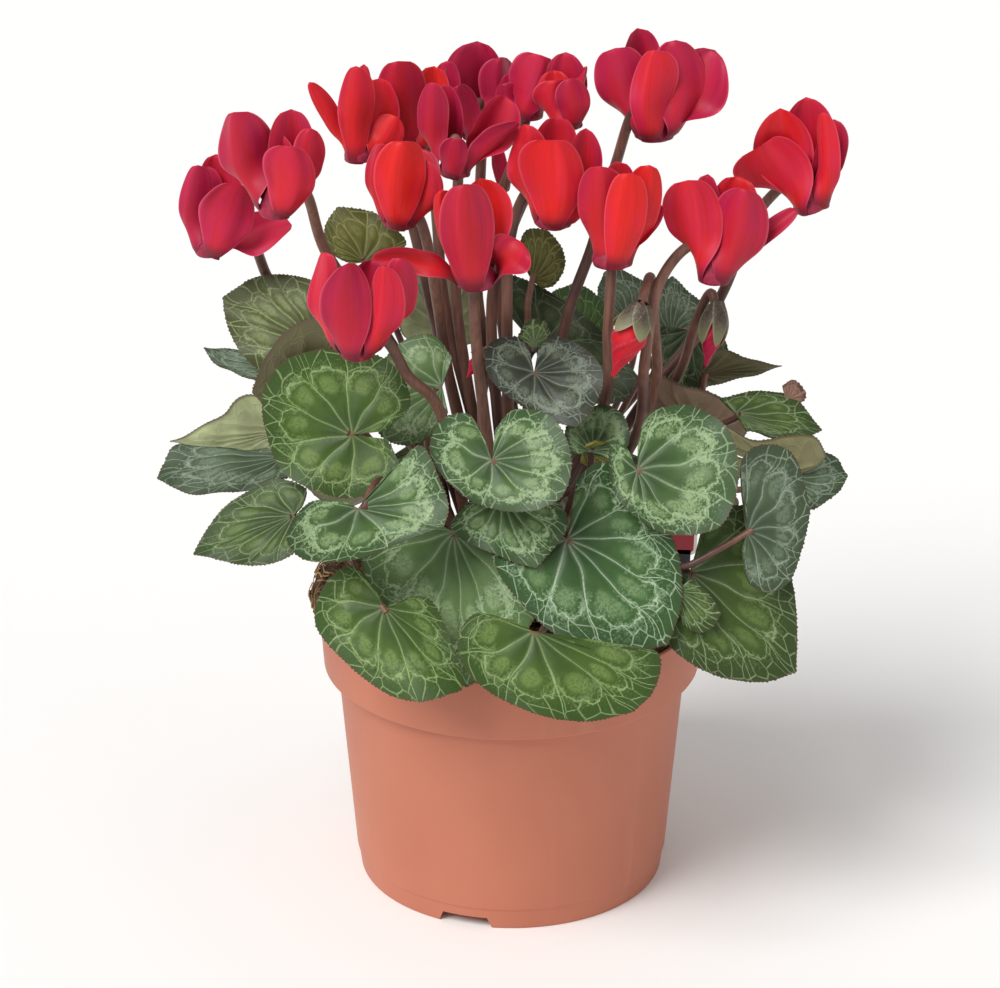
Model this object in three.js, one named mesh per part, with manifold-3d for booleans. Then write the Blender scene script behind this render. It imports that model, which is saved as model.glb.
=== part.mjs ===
// Potted cyclamen in a moulded plastic nursery pot.
// Units are millimetres. +Z is up, the front faces -Y and +X is the viewer's right.
// The origin is on the floor, at the centre of the pot's base.

import * as THREE from 'three';
import Module from 'manifold-3d';
import { mergeVertices } from 'three/addons/utils/BufferGeometryUtils.js';

const wasm = await Module();
wasm.setup();

// Driving sizes of the pot, from the foot up.
const POT_SIDES = 26;
const POT_HEIGHT = 100;
const FOOT_RADIUS = 53.7;
const FOOT_WIDTH = 2.6;
const LEDGE_HEIGHT = 7.9;
const LEDGE_RADIUS = 55.1;
const BODY_TOP_HEIGHT = 77.6;
const BODY_TOP_RADIUS = 60.9;
const COLLAR_HEIGHT = 78.4;
const COLLAR_RADIUS = 65.6;
const RIM_RADIUS = 67;
const RIM_ROUND = 0.6;
const WALL = 1.6;
const FLOOR_UNDERSIDE = 4.5;
const FLOOR_THICKNESS = 2;
const FLOOR_TOP = FLOOR_UNDERSIDE + FLOOR_THICKNESS;
const PAD_RADIUS = 22;
const PAD_SLOPE = 2;
const FLOOR_CLEARANCE = 0.3;
const NOTCH_COUNT = 3;
const NOTCH_WIDTH = 20;
const NOTCH_HEIGHT = 4;
const NOTCH_FIRST = -107.5;
const DRAIN_COUNT = 4;
const DRAIN_RADIUS = 4;
const DRAIN_RING = 34;

// Driving sizes of the root ball and of the tuber that sits on it.
const WALL_CLEARANCE = 0.5;
const ROOT_TOP = 104;
const ROOT_SIDES = 24;
const PROUD_SIDE = 178;
const PROUD_SPAN = 60;
const PROUD_REACH = 6;
const TUBER_RADIUS = 35;
const TUBER_TOP = 112.5;
const SOCKET_BOTTOM = 107.5;
const SOCKET_CLEARANCE = 0.35;
const STEM_STRAIGHT_TOP = 116;

// Driving sizes of the leaves, blooms and buds.
const BLADE_THICKNESS = 0.8;
const BLADE_RING = 0.55;
const BLADE_STEPS = 6;
const PETIOLE_RADIUS = 1.3;
const PETIOLE_END = 2;
const PETAL_THICKNESS = 0.8;
const PETAL_CUP = 0.3;
const PETAL_BASE = 0.52;
const PETAL_WIDEST = 0.6;
const PETAL_ROWS = [0, 0.5, 0.93];
const THROAT_LIP = 0.9;
const THROAT_TOP = [9, 2.6];
const CROOK_RISE = 14;
const CROOK_END = 8;
const STEM_RADIUS = 1.9;
const PETIOLE_SIDES = 4;
const STEM_SIDES = 4;
const STEM_SPANS = 6;
const PETIOLE_SPANS = 4;
const LEAF_FOOT_RINGS = [[33, 15], [27.5, 11], [22, 10]];
const STEM_FOOT_RINGS = [[16, 11], [8.6, 7], [0, 1]];
const LEAF_FEET_EVEN = 0.4;
const STEM_FEET_EVEN = 0.6;

// Plant label: a plain card head on a stake.
const LABEL_WIDTH = 11;
const LABEL_HEIGHT = 30;
const LABEL_THICKNESS = 0.8;
const STAKE_WIDTH = 7;
const STAKE_LENGTH = 42;
const STAKE_CLEARANCE = 0.3;

// The camera that the picture was taken with. A place typed as [across, down, depth]
// is a picture point in a frame of PICTURE size with the depth along Y in millimetres.
const PICTURE = [1000, 988];
const CAMERA_FOCUS = 3211;
const CAMERA_DISTANCE = 1104;
const CAMERA_ELEVATION = THREE.MathUtils.degToRad(22.4);
const CAMERA_TARGET = new THREE.Vector3(-4, 0, 140);
const CAMERA_BACK = new THREE.Vector3(0, -Math.cos(CAMERA_ELEVATION), Math.sin(CAMERA_ELEVATION));
const CAMERA_UP = new THREE.Vector3(0, Math.sin(CAMERA_ELEVATION), Math.cos(CAMERA_ELEVATION));
const CAMERA_PLACE = CAMERA_TARGET.clone().addScaledVector(CAMERA_BACK, CAMERA_DISTANCE);

// Leaves: name, where the petiole joins [across, down, depth], the way the upper face looks,
// tip, left margin and right margin from the tip back to the notch, then the relief as
// [dish, fold, wave, phase] in hundredths, hundredths, tenths of a millimetre and degrees.
const LEAVES = [
  ['leaf_01', [316, 345, -4], [-20, -85, 45], [223, 297],
    [[250, 279], [285, 275], [322, 286], [340, 318]],
    [[230, 332], [246, 358], [272, 377], [300, 374]], [-8, 0, 8, 0]],
  ['leaf_02', [276, 371, 16], [-10, -45, 85], [204, 348],
    [[225, 348], [250, 349], [274, 360]],
    [[214, 362], [236, 373], [264, 384]], [0, 0, 4, 0]],
  ['leaf_03', [352, 435, -44], [-8, -88, 40], [262, 393],
    [[285, 361], [335, 349], [390, 362], [410, 403], [384, 431]],
    [[266, 430], [285, 474], [348, 498], [397, 473], [387, 439]], [6, 0, 8, 40]],
  ['leaf_04', [442, 386, -14], [-10, -80, 58], [373, 404],
    [[382, 366], [404, 341], [434, 336], [452, 358]],
    [[380, 434], [406, 445], [432, 434], [448, 412]], [0, 10, 8, 0]],
  ['leaf_05', [358, 508, -70], [0, -78, 62], [444, 526],
    [[448, 505], [438, 476], [422, 446], [402, 457], [374, 488]],
    [[400, 542], [355, 559], [306, 559], [287, 536], [309, 503], [342, 501]], [14, 18, 6, 90]],
  ['leaf_06', [294, 515, -50], [-25, -68, 68], [193, 554],
    [[206, 530], [235, 499], [272, 480], [304, 487], [302, 506]],
    [[222, 560], [256, 565], [292, 554], [310, 532]], [-8, 6, 6, 0]],
  ['leaf_07', [284, 456, -26], [-5, -50, 85], [157, 478],
    [[163, 461], [180, 446], [225, 449], [266, 447]],
    [[176, 489], [212, 492], [256, 487], [288, 476]], [-6, 0, 8, 0]],
  ['leaf_08', [282, 430, -10], [-5, 80, 35], [170, 441],
    [[195, 430], [222, 414], [238, 400], [262, 397], [282, 408]],
    [[195, 450], [232, 454], [268, 452]], [6, 0, 8, 0]],
  ['leaf_09', [384, 607, -76], [-8, -88, 45], [421, 702],
    [[388, 694], [348, 664], [316, 625], [325, 585], [352, 566], [377, 592]],
    [[446, 695], [463, 683], [446, 630], [430, 600], [412, 597], [394, 606]], [4, -22, 6, 0]],
  ['leaf_10', [454, 532, -52], [-5, -88, 45], [467, 687],
    [[425, 660], [384, 610], [362, 560], [385, 525], [425, 516]],
    [[503, 660], [537, 610], [532, 560], [505, 527], [478, 518]], [-6, 16, 8, 0]],
  ['leaf_11', [533, 631, -86], [8, -85, 52], [632, 712],
    [[585, 721], [535, 713], [478, 683], [458, 645], [475, 614], [514, 621]],
    [[652, 693], [661, 665], [650, 649], [602, 651], [562, 640]], [-6, 4, 8, 0]],
  ['leaf_12', [567, 539, -60], [8, -80, 58], [668, 644],
    [[620, 651], [560, 636], [512, 592], [492, 552], [512, 520], [548, 522]],
    [[681, 602], [677, 550], [645, 500], [605, 463], [577, 478]], [-8, 10, 8, 0]],
  ['leaf_13', [492, 460, -64], [-5, -82, 58], [537, 510],
    [[500, 510], [462, 494], [431, 456], [440, 422], [468, 414], [485, 440]],
    [[562, 496], [571, 458], [552, 417], [515, 410], [495, 430]], [8, 0, 6, 30]],
  ['leaf_14', [500, 498, -57], [-5, -82, 58], [536, 568],
    [[500, 556], [453, 532], [464, 506], [482, 490]],
    [[556, 545], [568, 522], [555, 500], [530, 490]], [-4, 0, 6, 0]],
  ['leaf_15', [534, 372, -26], [-5, -76, 65], [576, 427],
    [[545, 417], [510, 397], [487, 371], [491, 343], [518, 337], [530, 352]],
    [[592, 410], [603, 375], [586, 350], [556, 337], [539, 347]], [16, 0, 6, 0]],
  ['leaf_16', [637, 470, -54], [8, -85, 50], [690, 535],
    [[655, 530], [620, 500], [609, 465], [613, 441], [628, 449]],
    [[722, 524], [738, 480], [728, 430], [690, 406], [650, 413], [638, 442]], [10, 4, 6, 60]],
  ['leaf_17', [748, 532, -60], [40, -85, 30], [810, 512],
    [[803, 478], [788, 450], [760, 446], [741, 463], [747, 506]],
    [[803, 548], [790, 580], [768, 592], [748, 580], [743, 552]], [12, 0, 4, 0]],
  ['leaf_18', [690, 572, -58], [10, -86, 42], [796, 672],
    [[797, 630], [791, 577], [772, 530], [742, 506], [708, 518], [697, 551]],
    [[760, 682], [710, 673], [670, 645], [660, 605], [674, 578]], [-8, 14, 8, 0]],
  ['leaf_19', [676, 590, -64.5], [5, -85, 45], [721, 613],
    [[708, 593], [690, 580]],
    [[712, 627], [698, 632], [682, 624]], [0, 6, 3, 0]],
  ['leaf_20', [736, 413, -14], [8, -50, 80], [822, 430],
    [[806, 409], [785, 394], [750, 391], [720, 398]],
    [[805, 438], [775, 438], [746, 430]], [-6, 6, 6, 0]],
  ['leaf_21', [786, 478, -20], [15, -60, 70], [848, 475],
    [[836, 458], [815, 448], [792, 455]],
    [[838, 492], [815, 508], [792, 505]], [-6, 0, 6, 0]],
  ['leaf_22', [698, 438, 4], [10, 85, 25], [690, 387],
    [[658, 376], [647, 400], [662, 428]],
    [[722, 398], [748, 424], [736, 446]], [10, 0, 6, 0]],
  ['leaf_23', [700, 372, 20], [5, 80, 15], [782, 366],
    [[754, 360], [726, 350], [704, 350]],
    [[756, 375], [728, 381], [697, 389]], [8, 0, 4, 0]],
  ['leaf_25', [364, 262, 14], [-5, -88, 35], [338, 207],
    [[327, 222], [325, 240], [335, 256], [352, 264]],
    [[372, 212], [392, 226], [406, 243], [392, 256], [376, 262]], [-8, 0, 5, 0]],
  ['leaf_26', [532, 280, 22], [10, -85, 40], [548, 231],
    [[560, 245], [565, 265], [555, 284], [542, 288]],
    [[530, 229], [521, 240], [523, 264]], [6, 0, 4, 0]],
  ['leaf_27', [575, 344, 36], [0, -60, 75], [572, 284],
    [[552, 293], [540, 314], [552, 340]],
    [[592, 292], [606, 312], [600, 340]], [0, 10, 4, 0]],
  ['leaf_28', [636, 326, 46], [0, -60, 75], [604, 272],
    [[598, 290], [602, 312], [618, 326]],
    [[622, 271], [646, 283], [664, 302], [656, 322]], [-6, 0, 6, 0]],
  ['leaf_29', [672, 336, 40], [0, -75, 60], [672, 276],
    [[659, 286], [649, 306], [656, 330]],
    [[688, 291], [704, 309], [698, 330]], [-8, 0, 6, 0]],
  ['leaf_30', [444, 326, 38], [0, 80, 25], [440, 268],
    [[416, 275], [402, 300], [402, 332], [428, 346]],
    [[464, 274], [478, 300], [478, 336], [458, 350]], [6, 0, 4, 0]],
  ['leaf_31', [592, 452, -34], [0, -68, 70], [600, 404],
    [[575, 413], [565, 435], [576, 454]],
    [[622, 414], [629, 440], [614, 462]], [10, 0, 4, 0]],
  ['leaf_32', [536, 346, 15], [0, -80, 50], [638, 376],
    [[608, 338], [566, 302], [525, 280], [500, 276], [505, 310]],
    [[625, 400], [580, 402], [540, 382]], [8, 0, 5, 0]],
  ['leaf_33', [326, 388, -26], [5, 85, 25], [252, 392],
    [[264, 361], [285, 333], [318, 317], [346, 330]],
    [[264, 404], [285, 416], [312, 416]], [8, 0, 4, 0]],
  ['leaf_34', [690, 330, 30], [5, -85, 40], [702, 388],
    [[665, 382], [654, 352], [662, 326]],
    [[720, 376], [727, 346], [712, 324]], [0, 0, 4, 0]],
];

// Turned-over or torn bits of a blade: the leaf that they belong to, the point on that blade
// where they start, then the same as for a leaf.
const FOLDS = [
  ['leaf_34', [672, 358], [-20, -82, 40], [682, 387],
    [[688, 370], [684, 352], [676, 346]], [[664, 385], [652, 374], [652, 358]], [0, 0, 2, 0]],
  ['leaf_21', [788, 470], [5, 80, 35], [826, 456],
    [[815, 437], [785, 436], [752, 440], [720, 424], [717, 446]],
    [[816, 467], [800, 473], [784, 480], [755, 482], [726, 468], [717, 450]], [2, 0, 2, 0]],
  ['leaf_20', [786, 400], [-10, -80, 40], [806, 392],
    [[794, 380], [782, 386]], [[804, 400], [795, 405]], [0, 0, 3, 0]],
  ['leaf_31', [584, 444], [0, 70, 60], [612, 462],
    [[610, 446], [596, 440]], [[596, 468], [580, 462]], [0, 0, 2, 0]],
];

// Points that a petiole passes on its way, where it shows between the blades.
const PETIOLE_MARKS = {
  leaf_04: [[427, 440, -13]],
  leaf_05: [[382, 480, -56], [368, 496, -66]],
  leaf_09: [[350, 552, -60]],
  leaf_11: [[556, 600, -62], [543, 630, -74]],
  leaf_17: [[622, 478, -18], [645, 535, -44], [668, 564, -55], [686, 566, -61], [716, 551, -61]],
  leaf_19: [[636, 575, -57], [658, 590, -64]],
  leaf_23: [[692, 425, 20]],
  leaf_26: [[528, 335, 7], [528, 303, 15]],
  leaf_33: [[358, 442, -24]],
};

// Leaves behind the others, drawn in their own plane: name, join, the way the upper face
// looks, the way the tip points, length and half width, relief.
const BACK_LEAVES = [
  ['leaf_35', [-42, 42, 138], [-25, 60, 75], [-40, 70, -55], 46, 30, [-6, 8, 8, 0]],
  ['leaf_36', [6, 52, 130], [5, 72, 68], [5, 60, -60], 48, 32, [-6, 6, 8, 50]],
  ['leaf_37', [50, 42, 134], [40, 55, 70], [60, 50, -45], 44, 29, [-8, 8, 8, 90]],
];

// Right half of a round leaf from the tip back to the notch, in half widths and lengths.
const HEART = [[0.52, 0.8], [0.92, 0.42], [0.98, 0], [0.66, -0.32], [0.2, -0.28]];

// Blooms: name, nose [across, down, depth], the way the flower opens, radius of the ring that
// the petals fold over, points that the stem passes, then the petals as
// [azimuth, tip across, tip down, depth past the nose, half width, turn, bow, lift].
const BLOOMS = [
  ['bloom_01', [212, 253, 6], [-0.1, -0.05, 1], 5.2,
    [[352, 420, 0], [300, 330, 14], [268, 278, 18], [250, 240, 11]], [
      [-80, 198, 165, -1, 5, 20, 2, 0], [-140, 209, 166, 7, 6, 10, 0, 0],
      [150, 216, 154, 9, 7, 0, 2, 0], [5, 239, 184, -7, 9, -15, 3, 0],
      [92, 292, 225, 5, 7.3, 10, -3, 0]]],
  ['bloom_02', [276, 214, -34], [0, -0.1, 1], 5.2,
    [[402, 362, 2], [326, 252, -10], [304, 190, -24]], [
      [-95, 234, 112, 0, 8.5, 20, 2, 0], [-165, 268, 129, 8, 10, 0, 2, 0],
      [25, 290, 146, -8, 8, 0, 3, 0], [120, 291, 109, 7, 7, 10, 1, 0],
      [80, 311, 128, 1, 5.6, -25, 3, 0]]],
  ['bloom_03', [360, 160, 4], [-0.1, 0, 1], 4.8,
    [[430, 300, 10], [405, 200, 10], [375, 140, 12]], [
      [-85, 309, 82, 2, 3, 10, -2, 0], [-15, 356, 66, -3, 5.8, 0, 0, 0],
      [-170, 364, 64, 8, 3, 0, 0, 0], [110, 381, 78, 5, 5.5, 0, 2, 0],
      [60, 396, 116, 0, 5.5, 0, 0, 0]]],
  ['bloom_04', [400, 225, -30], [0, -0.1, 1], 5.2,
    [[448, 372, 4], [437, 300, -4], [422, 225, -18], [408, 200, -22]], [
      [-85, 380, 143, -1, 5, 25, 2, 0], [-10, 404, 141, -7, 8, 0, 3, 0],
      [60, 427, 160, -2, 5.5, 10, 2, 0], [125, 420, 148, 7, 6.5, 0, 0, 0],
      [-160, 392, 146, 8, 7, 0, 0, 0]]],
  ['bloom_05', [478, 138, 28], [0, 0, 1], 5,
    [[478, 300, 22], [480, 190, 30], [482, 130, 36]], [
      [-90, 446, 61, 0, 5, 20, 3, 0], [-165, 477, 41, 6, 9.5, 0, 2, 0],
      [100, 502, 57, 2, 8, -20, 3, 0], [-20, 458, 85, -8, 5, 0, 0, 0],
      [60, 506, 193, -2, 2.6, 20, 0, 0]]],
  ['bloom_06', [455, 174, -4], [0, -0.1, 1], 5,
    [[456, 300, 4], [457, 220, 5], [458, 165, 6]], [
      [-90, 432, 82, 0, 5.5, 20, 2, 0], [-150, 448, 84, 6, 6, 0, 2, 0],
      [-15, 457, 138, -7, 4.5, 0, 2, 0], [115, 506, 96, 6, 7, -20, 1, 0],
      [65, 520, 124, -2, 4.6, -40, -2, 0]]],
  ['bloom_07', [529, 118, 22], [0, 0, 1], 4.5,
    [[500, 300, 14], [495, 215, 13], [512, 165, 16], [528, 110, 30]], [
      [-30, 541, 55, -4, 7.4, 0, 2, 0], [-90, 502, 84, 0, 4.5, 20, 1, 0],
      [-150, 509, 72, 7, 5, 0, 0, 0], [150, 546, 72, 8, 5.5, 0, 0, 0],
      [80, 546, 90, 2, 5, 0, 0, 0]]],
  ['bloom_08', [553, 224, -12], [0, -0.1, 1], 5.9,
    [[507, 330, -4], [510, 240, -2], [524, 196, -2], [540, 180, -4]], [
      [0, 552, 140, -7, 10, 0, 4, 0], [-85, 525, 124, 3, 7.4, 10, 1, 0],
      [-170, 556, 116, 9, 7.4, 0, 2, 0], [110, 586, 128, 4, 5.5, -10, 2, 0],
      [60, 580, 172, -2, 5, -20, 3, 0]]],
  ['bloom_09', [654, 136, 4], [0, -0.1, 1], 6.4,
    [[566, 322, 5], [592, 246, 10], [616, 163, 8], [637, 106, 2]], [
      [-75, 615, 48, 0, 8.8, 15, 1, 0], [-150, 637, 28, 8, 7.2, 0, 1, 0],
      [-12, 656, 50, -8, 7, 0, 4, 0], [55, 676, 40, -1, 8.5, -10, 4, 0],
      [95, 715, 50, 4, 9.2, -10, 0.5, 0]]],
  ['bloom_10', [813, 207, 0], [-0.35, -0.1, 0.9], 6,
    [[644, 400, 11], [700, 332, 15], [724, 290, 14], [756, 215, 12], [790, 178, 8]], [
      [-50, 762, 145, -6, 11, 0, 0, 0], [-130, 780, 108, 2, 9.4, 0, 2, 0],
      [180, 806, 97, 8, 8.4, 0, 2, 0], [110, 834, 119, 4, 5.2, -10, -1.5, 0],
      [35, 823, 112, -3, 4.5, 40, 1, 0]]],
  ['bloom_11', [612, 263, -26], [0, -0.1, 1], 6.4,
    [[604, 405, -12], [608, 330, -14], [612, 262, -16]], [
      [-50, 600, 166, -3, 8.2, 10, -1, 0], [10, 629, 173, -7, 6.5, 0, 3, 0],
      [60, 650, 165, -2, 6.2, -10, 0, 0], [105, 660, 203, 4, 4.2, 20, -1.5, 0],
      [180, 616, 161, 8, 7, 0, 0, 0]]],
  ['bloom_12', [714, 280, -20], [0, -0.1, 1], 5.2,
    [[634, 440, -10], [645, 359, -22], [660, 282, -18], [686, 248, -16]], [
      [-75, 688, 180, -1, 9.4, 10, 0, 0], [-160, 708, 174, 8, 5, 0, 0, 0],
      [140, 739, 176, 6, 8, 0, 1, 0], [30, 746, 189, -6, 9, 10, 1, 0],
      [90, 797, 209, 2, 3.4, 30, -2, 0]]],
  ['bloom_13', [476, 282, -42], [0, -0.25, 1], 6.4,
    [[478, 362, -22], [474, 290, -30], [476, 262, -33]], [
      [-85, 371, 259, 2, 4.2, 20, 0, 4], [-10, 465, 184, -7, 8.5, 0, 2, 0],
      [-50, 441, 190, -4, 4, 30, 1, 0], [150, 479, 178, 5, 8.4, 0, 2, 0],
      [80, 522, 242, -1, 7.2, 0, 1, 3]]],
  ['bloom_14', [357, 355, -60], [0, -0.1, 1], 5.4,
    [[437, 405, -36], [408, 376, -46], [390, 345, -52]], [
      [-85, 325, 252, 0, 5.6, 20, 4, 0], [-20, 348, 263, -7, 8, 0, 3, 0],
      [45, 385, 266, -5, 5.5, 20, 3, 0], [85, 402, 258, 1, 5.6, -10, 4, 0],
      [170, 372, 259, 8, 8, 0, 2, 0]]],
  ['bloom_15', [408, 152, 16], [0, 0, 1], 4.5,
    [[444, 300, 11], [437, 222, 16], [430, 150, 20]], [
      [-60, 386, 112, -3, 6.5, 0, 0, 0], [-10, 398, 61, -5, 8, 0, 0, 0],
      [180, 410, 69, 9, 6, 0, 0, 0], [110, 434, 66, 6, 6, 0, 1, 0],
      [60, 422, 106, 2, 5, 0, 3, 0]]],
  ['bloom_16', [568, 127, 10], [0, 0, 1], 4.5,
    [[492, 300, 4], [509, 236, 6], [527, 194, 10], [556, 140, 18]], [
      [-60, 556, 80, -3, 6.5, 10, 2, 0], [20, 570, 78, -5, 5.5, 0, 2, 0],
      [180, 566, 52, 7, 6.6, 0, 1, 0], [90, 587, 66, 2, 2.6, 60, -1, 0],
      [-120, 554, 70, 6, 5.5, 0, 0, 0]]],
];

// Buds: name, points that the stem passes, where the bud starts and ends, its radius.
const BUDS = [
  ['bud_01', [[652, 400, -2], [654, 320, -10], [650, 277, -16]],
    [642, 306, -28], [613, 376, -28], 5.2],
  ['bud_02', [[640, 430, 4], [669, 391, 10], [684, 362, 8], [696, 322, 5], [711, 293, 2]],
    [718, 303, -2], [706, 366, -5], 3.8],
  ['bud_03', [[482, 400, -12], [489, 350, -12]],
    [484, 352, -14], [467, 378, -18], 2.2],
];

// Points, curves and solids.

function seen(place) {
  const ray = CAMERA_BACK.clone().multiplyScalar(-CAMERA_FOCUS);
  ray.x += place[0] - PICTURE[0] / 2;
  ray.addScaledVector(CAMERA_UP, PICTURE[1] / 2 - place[1]);
  return CAMERA_PLACE.clone().addScaledVector(ray, (place[2] - CAMERA_PLACE.y) / ray.y);
}

function solidOf(geometry) {
  const plain = geometry.clone();
  plain.deleteAttribute('normal');
  plain.deleteAttribute('uv');
  const merged = mergeVertices(plain, 1e-4);
  return new wasm.Manifold(new wasm.Mesh({
    numProp: 3,
    vertProperties: new Float32Array(merged.attributes.position.array),
    triVerts: new Uint32Array(merged.index.array),
  }));
}

function geometryOf(solid) {
  const shape = solid.getMesh();
  const geometry = new THREE.BufferGeometry();
  geometry.setAttribute('position', new THREE.BufferAttribute(shape.vertProperties, 3));
  geometry.setIndex(new THREE.BufferAttribute(shape.triVerts, 1));
  return geometry;
}

function meshOf(name, solid, color, roughness = 0.6) {
  const material = new THREE.MeshStandardMaterial({ color, roughness, metalness: 0 });
  const mesh = new THREE.Mesh(geometryOf(solid), material);
  mesh.name = name;
  mesh.geometry.computeVertexNormals();
  return mesh;
}

function closedGeometry(points, faces) {
  const geometry = new THREE.BufferGeometry();
  const flat = points.flatMap((point) => [point.x, point.y, point.z]);
  geometry.setAttribute('position', new THREE.Float32BufferAttribute(flat, 3));
  geometry.setIndex(faces.flat());
  return geometry;
}

// A tube of constant radius through a list of points, the first two straight above each other.
function tube(points, radius, sides, endWay = null) {
  const rings = [];
  const across = new THREE.Vector3(1, 0, 0);
  points.forEach((point, index) => {
    const from = points[index < 2 ? 0 : index - 1];
    const to = points[index < 2 ? 1 : Math.min(index + 1, points.length - 1)];
    const ending = endWay && index === points.length - 1;
    const way = ending ? endWay.clone() : to.clone().sub(from).normalize();
    across.addScaledVector(way, -across.dot(way)).normalize();
    const beside = new THREE.Vector3().crossVectors(way, across);
    for (let side = 0; side < sides; side += 1) {
      const angle = 2 * Math.PI * side / sides;
      rings.push(point.clone().addScaledVector(across, radius * Math.cos(angle))
        .addScaledVector(beside, radius * Math.sin(angle)));
    }
  });
  const faces = [];
  for (let side = 0; side < sides; side += 1) {
    const next = (side + 1) % sides;
    for (let ring = 0; ring + 1 < points.length; ring += 1) {
      const [a, b] = [ring * sides + side, ring * sides + next];
      faces.push([a, b, b + sides], [a, b + sides, a + sides]);
    }
  }
  const last = (points.length - 1) * sides;
  for (let side = 1; side + 1 < sides; side += 1) {
    faces.push([0, side + 1, side], [last, last + side, last + side + 1]);
  }
  return closedGeometry(rings, faces);
}

// The points of a stem: the straight foot, then a smooth curve through the marks.
function smoothPath(points, steps) {
  const curve = new THREE.CatmullRomCurve3(points);
  const start = 1 / (points.length - 1);
  const path = [points[0]];
  for (let step = 0; step <= steps; step += 1) {
    path.push(curve.getPoint(start + (1 - start) * step / steps));
  }
  return path;
}

// A turned solid: the outline is a list of [radius, height] from the axis back to the axis.
function turned(outline, sides) {
  const points = outline.map(([radius, height]) => new THREE.Vector2(radius, height));
  return new THREE.LatheGeometry(points, sides).rotateX(Math.PI / 2);
}

function boxAt(width, depth, height, x, y, z) {
  return new THREE.BoxGeometry(width, depth, height).translate(x, y, z);
}

// Pot: a tapered wall with a wide collar. It stands on a notched foot ring and on a flat pad in
// the middle of the floor, with the drain holes in the raised channel between them.

function potOutline() {
  return [
    [0, 0],
    [PAD_RADIUS, 0],
    [PAD_RADIUS + PAD_SLOPE, FLOOR_UNDERSIDE],
    [FOOT_RADIUS - FOOT_WIDTH, FLOOR_UNDERSIDE],
    [FOOT_RADIUS - FOOT_WIDTH, 0],
    [FOOT_RADIUS, 0],
    [LEDGE_RADIUS, LEDGE_HEIGHT],
    [BODY_TOP_RADIUS, BODY_TOP_HEIGHT],
    [COLLAR_RADIUS, COLLAR_HEIGHT],
    [RIM_RADIUS, POT_HEIGHT - RIM_ROUND],
    [RIM_RADIUS - RIM_ROUND, POT_HEIGHT],
    [RIM_RADIUS - WALL - RIM_ROUND, POT_HEIGHT],
    [COLLAR_RADIUS - WALL, COLLAR_HEIGHT + WALL],
    [BODY_TOP_RADIUS - WALL, BODY_TOP_HEIGHT + WALL],
    [LEDGE_RADIUS - WALL - 1, FLOOR_TOP],
    [PAD_RADIUS + PAD_SLOPE - 1, FLOOR_TOP],
    [PAD_RADIUS - 1, FLOOR_THICKNESS],
    [0, FLOOR_THICKNESS],
  ];
}

function notchCutter(degrees) {
  const half = NOTCH_WIDTH / 2;
  const slope = NOTCH_HEIGHT / 2;
  const section = new THREE.Shape([
    new THREE.Vector2(-half, -1),
    new THREE.Vector2(half, -1),
    new THREE.Vector2(half - slope, NOTCH_HEIGHT),
    new THREE.Vector2(slope - half, NOTCH_HEIGHT),
  ]);
  const cutter = new THREE.ExtrudeGeometry(section, { depth: 12, bevelEnabled: false });
  cutter.rotateX(Math.PI / 2);
  cutter.translate(0, FOOT_RADIUS + 6, 0);
  return cutter.rotateZ(THREE.MathUtils.degToRad(degrees - 90));
}

function drainCutter(index) {
  const angle = 2 * Math.PI * (index + 0.5) / DRAIN_COUNT;
  const cutter = new THREE.CylinderGeometry(DRAIN_RADIUS, DRAIN_RADIUS, 6, 8);
  cutter.rotateX(Math.PI / 2);
  return cutter.translate(DRAIN_RING * Math.cos(angle), DRAIN_RING * Math.sin(angle), FLOOR_TOP - 1);
}

function makePot() {
  let pot = solidOf(turned(potOutline(), POT_SIDES));
  for (let index = 0; index < NOTCH_COUNT; index += 1) {
    pot = pot.subtract(solidOf(notchCutter(NOTCH_FIRST + 360 * index / NOTCH_COUNT)));
  }
  for (let index = 0; index < DRAIN_COUNT; index += 1) {
    pot = pot.subtract(solidOf(drainCutter(index)));
  }
  return meshOf('pot', pot, '#cc7d63', 0.7);
}

// Root ball: it fills the pot and stands proud of the rim, most of all on its left side.

function proud(angle) {
  const away = THREE.MathUtils.radToDeg(angle) - PROUD_SIDE;
  return Math.exp(-((away / PROUD_SPAN) ** 2));
}

function rootBallRings() {
  const clear = WALL + WALL_CLEARANCE;
  return [
    [PAD_RADIUS - 2, FLOOR_THICKNESS + FLOOR_CLEARANCE, 0, 0],
    [PAD_RADIUS, FLOOR_TOP + FLOOR_CLEARANCE, 0, 0],
    [LEDGE_RADIUS - clear - 1, FLOOR_TOP + FLOOR_CLEARANCE, 0, 0],
    [BODY_TOP_RADIUS - clear, BODY_TOP_HEIGHT + clear, 0, 0],
    [COLLAR_RADIUS - clear, COLLAR_HEIGHT + clear, 0, 0],
    [RIM_RADIUS - clear - RIM_ROUND, POT_HEIGHT, 0, 0],
    [RIM_RADIUS - clear - RIM_ROUND - 0.5, POT_HEIGHT + 0.6, PROUD_REACH, 0],
    [RIM_RADIUS - clear - 3, POT_HEIGHT + 3, PROUD_REACH, 4],
    [RIM_RADIUS - clear - 9, POT_HEIGHT + 5, PROUD_REACH, 7],
    [TUBER_RADIUS + 6, ROOT_TOP + 3, 0, 1],
    [TUBER_RADIUS + 1.5, ROOT_TOP, 0, 0],
  ];
}

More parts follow.
